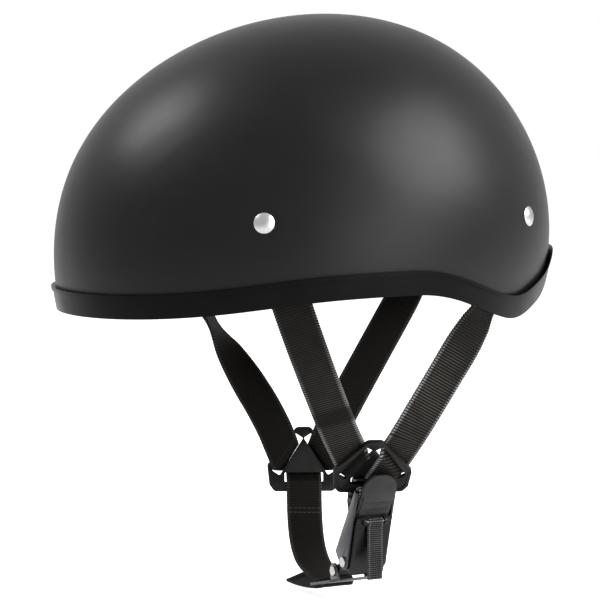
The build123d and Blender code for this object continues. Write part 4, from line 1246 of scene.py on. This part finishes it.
def right_chin_rows(divide, plate):
    """Rows from the divider, under the chin, round the strap plate's bar, to the end of the loose tail."""
    edge_on = Board(divide.middle, divide.y, divide.x)
    across = mirrored(divide.x)
    rows, travelled = folded_rows(edge_on, SLOT_LINE, across, 0.0, flip=mirrored)
    bar_end = PLATE_OUTER - PLATE_LENGTH
    slot = bar_end + PLATE_BAR + PLATE_SLOT_WIDTH / 2
    over = -PLATE_DROP + SOFT_GAP + WEB_THICK / 2
    under = -PLATE_DROP - PLATE_THICK - SOFT_GAP - WEB_THICK / 2
    arrive = Vector((bar_end - ARRIVE_RUN, over + ARRIVE_RISE, 0))
    start = mirrored(divide.at(0, -FOOT, -WEB_LEVEL))
    end = plate.at(*arrive)
    end_way = plate.way(bar_end - arrive.x, over - arrive.y).normalized()
    free = smooth_run(start, mirrored(-divide.y), end, end_way, CHIN_PULL)
    between, travelled = run_rows(free, blended(across, -plate.z), ways_along(free), travelled)
    wrap = [
        arrive, (bar_end, over, 0), (slot, over, 0), (slot, under, 0), (bar_end, under, 0),
        (bar_end - TAIL_LENGTH, under + TAIL_RISE, 0),
    ]
    wrapped, travelled = folded_rows(plate, wrap, -plate.z, travelled)
    return rows[:-1] + between + turned_tail(wrapped, travelled)


def turned_tail(rows, total):
    """The loose tail rolls a little, more and more towards its end."""
    turned = []
    for row in rows:
        middle, face, travelled = row[len(row) // 2]
        share = max(0.0, 1 - (total - travelled) / TAIL_LENGTH)
        way = (row[-1][0] - row[0][0]).cross(face).normalized()
        turn = Quaternion(way, math.radians(TAIL_TURN) * share)
        lifted = middle + face * TAIL_LIFT * share**2
        turned.append([
            (lifted + turn @ (point - middle), turn @ normal, so_far) for point, normal, so_far in row
        ])
    return turned


right_chin = right_chin_rows(RIGHT_BOARD, PLATE)
# Painted shade: the right chin strap gets the darker copy of the webbing.
ribbed("right_chin_webbing", right_chin, "shaded_far_webbing", "right_chin_strap", height=FAR_RIB)

# %% [markdown]
# ## Pull ribbon
#
# A narrow woven ribbon is looped round a pin in the lever, and its two layers hang straight down, sewn
# together. It is drawn as one folded line: up the back, round the pin, and down the front.

# %% Ribbon
RIBBON_PIN_UP = 26.6
RIBBON_PIN_IN = 0.6
RIBBON_WIDTH = 9.0
RIBBON_THICK = 0.95
RIBBON_LENGTH = 31.0
RIBBON_EYE = 1.4
RIBBON_JOIN = 3.4
RIBBON_FOLD = 0.25
RIBBON_GAP = 0.03
EYE_DEGREES = range(-105, -256, -15)


def ribbon_rows():
    """Rows up the ribbon's back, round the pin and down its front."""
    pin = BUCKLE.at(RIBBON_PIN_UP, -RIBBON_PIN_IN)
    hang = Board(pin, -UP, BUCKLE.z)
    layer = RIBBON_THICK / 2 + RIBBON_GAP
    line = [(RIBBON_LENGTH, -layer, 0), (RIBBON_JOIN, -layer, 0)]
    for degrees in EYE_DEGREES:
        angle = math.radians(degrees)
        line.append((RIBBON_EYE * math.cos(angle), RIBBON_EYE * math.sin(angle), 0))
    line += [(RIBBON_JOIN, layer, 0), (RIBBON_LENGTH, layer, 0)]
    return folded_rows(hang, line, BUCKLE.z, 0.0, RIBBON_WIDTH, radius=RIBBON_FOLD)[0]


ribbed(
    "woven_pull_ribbon", ribbon_rows(), "ribbon_weave", "pull_ribbon", width=RIBBON_WIDTH, thick=RIBBON_THICK,
    pitch=1.1, height=0.1, body="ribbon",
)

# %% [markdown]
# ## Stitches
#
# Thread holds the webbing where it is doubled. A Geometry Nodes tree sets one short stitch at even steps
# along each seam line, turned to follow it. The stitch itself is a small round bar with sunk ends.

# %% Geometry Nodes that sew a seam
STITCH_ROUNDS = ((-1.0, 0.3), (-0.7, 0.85), (0.0, 1.0), (0.7, 0.85), (1.0, 0.3))
STITCH_SIDES = 6


def stitch_bar():
    """One stitch along Z, a few faces only. Each of its rounds is a height and a radius."""
    shape = bmesh.new()
    turns = [side * math.tau / STITCH_SIDES for side in range(STITCH_SIDES)]
    wall(shape, [
        [shape.verts.new((radius * math.cos(turn), radius * math.sin(turn), height)) for turn in turns]
        for height, radius in STITCH_ROUNDS
    ])
    return piece_from(shape, "stitch_bar")


def build_seam_tree():
    """Sets stitches at even steps along a mesh's edges, turned to follow them."""
    tree, source, sink = new_group(
        "Seam Stitches",
        {
            "Geometry": SHAPE, "Stitch": "NodeSocketObject", "Stitch Pitch": NUMBER,
            "Thread Radius": NUMBER, "Half Length": NUMBER, "Finish": "NodeSocketMaterial",
        },
        {"Geometry": SHAPE}, "GeometryNodeTree",
    )
    line = add(tree, "GeometryNodeMeshToCurve", {0: source["Geometry"]}).outputs[0]
    evenly = add(
        tree, "GeometryNodeResampleCurve", {"Curve": line, "Length": source["Stitch Pitch"]}, mode="LENGTH"
    ).outputs[0]
    way = add(tree, "GeometryNodeInputTangent").outputs[0]
    turned = add(tree, "FunctionNodeAlignRotationToVector", {"Vector": way}, axis="Z").outputs[0]
    stitch = add(tree, "GeometryNodeObjectInfo", {"Object": source["Stitch"]}).outputs["Geometry"]
    size = add(tree, "ShaderNodeCombineXYZ", {
        0: source["Thread Radius"], 1: source["Thread Radius"], 2: source["Half Length"],
    }).outputs[0]
    put = add(tree, "GeometryNodeInstanceOnPoints", {
        "Points": evenly, "Instance": stitch, "Rotation": turned, "Scale": size,
    }).outputs[0]
    real_and_painted(tree, source, sink, put)
    return tree


SEAM_TREE = build_seam_tree()
STITCH = stitch_bar()
print("Seam tree:", len(SEAM_TREE.nodes), "nodes")

# %% Seams on the webbing
STITCH_LIFT = 0.1
STITCH_PITCH = 2.6
STITCH_HALF_LENGTH = 1.05
THREAD_RADIUS = 0.28
DIVIDER_SEAMS = (24.0, 27.0)
TAIL_SEAMS = (-3.0, -6.0)
BUCKLE_SEAMS = (-2.0, -5.0)


def seam_lines(rows, distances):
    """Lines across both skins of a strap, at distances from its start, or from its end if below zero."""
    total = rows[-1][0][2]
    lines = []
    for distance in distances:
        travelled = distance if distance > 0 else total + distance
        row = min(rows, key=lambda candidate: abs(candidate[COLUMNS // 2][2] - travelled))
        for skin in (1, -1):
            lift = skin * (WEB_THICK / 2 + STITCH_LIFT)
            lines.append([point + face * lift for point, face, _ in row[1:-1]])
    return lines


def sewn(name, seams, body="helmet"):
    """Makes one piece of stitches along several seam lines, in millimetres."""
    shape = bmesh.new()
    for seam in seams:
        made = [shape.verts.new(place * MM) for place in seam]
        for before, after in zip(made, made[1:]):
            shape.edges.new((before, after))
    thread = FINISHES["sewing_thread"]
    piece = piece_from(shape, name, thread)
    grown(
        piece, SEAM_TREE, Stitch=STITCH, Finish=thread, Stitch_Pitch=STITCH_PITCH * MM,
        Thread_Radius=THREAD_RADIUS * MM, Half_Length=STITCH_HALF_LENGTH * MM,
    )
    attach(piece, body)
    print(name, len(piece.data.polygons), "faces")


sewn("chin_strap_stitches", seam_lines(right_chin, DIVIDER_SEAMS + TAIL_SEAMS))
sewn("buckle_loop_stitches", seam_lines(left_chin, BUCKLE_SEAMS))
bpy.data.objects.remove(STITCH)

# %% [markdown]
# ## Floor, light and camera
#
# Product photographs of black things use big soft lamps at both sides, so that long soft highlights draw
# the shape. The lamps are placed by the view: how far right, up and towards the camera they stand. The
# background is white because the camera and mirror-like surfaces see a white world, not because of light.

# %% Camera
AIM = Vector((0, 0, 0.0027))
AZIMUTH = math.radians(75.0)
ELEVATION = math.radians(5.5)
DISTANCE = 1.4
SENSOR_WIDTH = 36.0
PICTURE_PIXELS = 600
PIXELS_PER_METRE = 1834.0
towards = Vector((
    math.sin(AZIMUTH) * math.cos(ELEVATION), -math.cos(AZIMUTH) * math.cos(ELEVATION), math.sin(ELEVATION)
))
view_right = Vector((math.cos(AZIMUTH), math.sin(AZIMUTH), 0))
view_up = towards.cross(view_right)


def stand(name, data, place, way):
    """Puts a camera or a lamp at a place, looking against the given way."""
    made = bpy.data.objects.new(name, data)
    made.location = place
    made.rotation_euler = way.to_track_quat("Z", "Y").to_euler()
    bpy.context.scene.collection.objects.link(made)
    return made


lens = bpy.data.cameras.new("camera")
lens.sensor_width = SENSOR_WIDTH
lens.lens = SENSOR_WIDTH * DISTANCE / (PICTURE_PIXELS / PIXELS_PER_METRE)
bpy.context.scene.camera = stand("camera", lens, AIM + towards * DISTANCE, towards)
print("Camera lens:", round(lens.lens, 1), "mm")

# %% Lamps, each with three parts of its way, its distance and size in metres, and its power in watts
LAMP_AIM = AIM + Vector((0, 0, 0.03))


def softbox(name, right, up, front, distance, size, power):
    """A square lamp that faces the helmet, placed by the camera's own right, up and towards."""
    way = (view_right * right + view_up * up + towards * front).normalized()
    data = bpy.data.lights.new(name, "AREA")
    data.size = size
    data.energy = power
    stand(name, data, LAMP_AIM + way * distance, way)


softbox("right_softbox", 0.773, 0.529, 0.358, 1.6, 0.95, 42.0)
softbox("left_softbox", -0.658, 0.748, -0.02, 1.6, 0.6, 18.0)
softbox("front_fill", 0.66, -0.08, 0.75, 2.0, 1.2, 24.0)
print("Lamps:", len(bpy.data.lights))

# %% World
PLAIN_STRENGTH = 0.15
WHITE_STRENGTH = 1.0
world = bpy.data.worlds.new("studio")
world.use_nodes = True
bpy.context.scene.world = world
tree = world.node_tree
tree.nodes.clear()
ray = add(tree, "ShaderNodeLightPath").outputs
direct = math_node(tree, "MAXIMUM", ray["Is Camera Ray"], ray["Is Transmission Ray"])
seen = math_node(tree, "MAXIMUM", direct, ray["Is Glossy Ray"])
plain, white = (
    add(tree, "ShaderNodeBackground", {"Color": (1, 1, 1, 1), "Strength": strength}).outputs[0]
    for strength in (PLAIN_STRENGTH, WHITE_STRENGTH)
)
either = add(tree, "ShaderNodeMixShader", {0: seen, 1: plain, 2: white}).outputs[0]
add(tree, "ShaderNodeOutputWorld", {0: either})
print("World nodes:", len(tree.nodes))

# %% Floor
FLOOR_GLOW = 0.865
FLOOR_DROP = 0.003


def build_floor():
    """A pale floor whose shadow stays, with a little of its own light for the camera."""
    material, tree, shader = new_finish("pale_floor", {
        "Roughness": 0.9, SPECULAR: 0.0, "Emission Color": (1, 1, 1, 1),
    })
    ray = add(tree, "ShaderNodeLightPath").outputs
    place = add(tree, "ShaderNodeTexCoord").outputs["Object"]
    speckle = add(tree, "ShaderNodeTexNoise", {"Vector": place, "Scale": 8.0}).outputs[0]
    seen = math_node(tree, "MAXIMUM", ray["Is Camera Ray"], ray["Is Glossy Ray"])
    feed(tree, shader, {
        "Base Color": mix_colours(tree, speckle, grey(0.86), grey(0.88)),
        "Emission Strength": math_node(tree, "MULTIPLY", seen, FLOOR_GLOW),
    })
    shape = bmesh.new()
    bmesh.ops.create_grid(shape, x_segments=8, y_segments=8, size=6.0)
    bmesh.ops.translate(shape, verts=shape.verts, vec=(0, 0, cad_low.z - FLOOR_DROP))
    return piece_from(shape, "floor", material)


floor = build_floor()
bpy.context.scene.view_settings.view_transform = "Standard"
print("Floor at", round(cad_low.z - FLOOR_DROP, 4), "m")
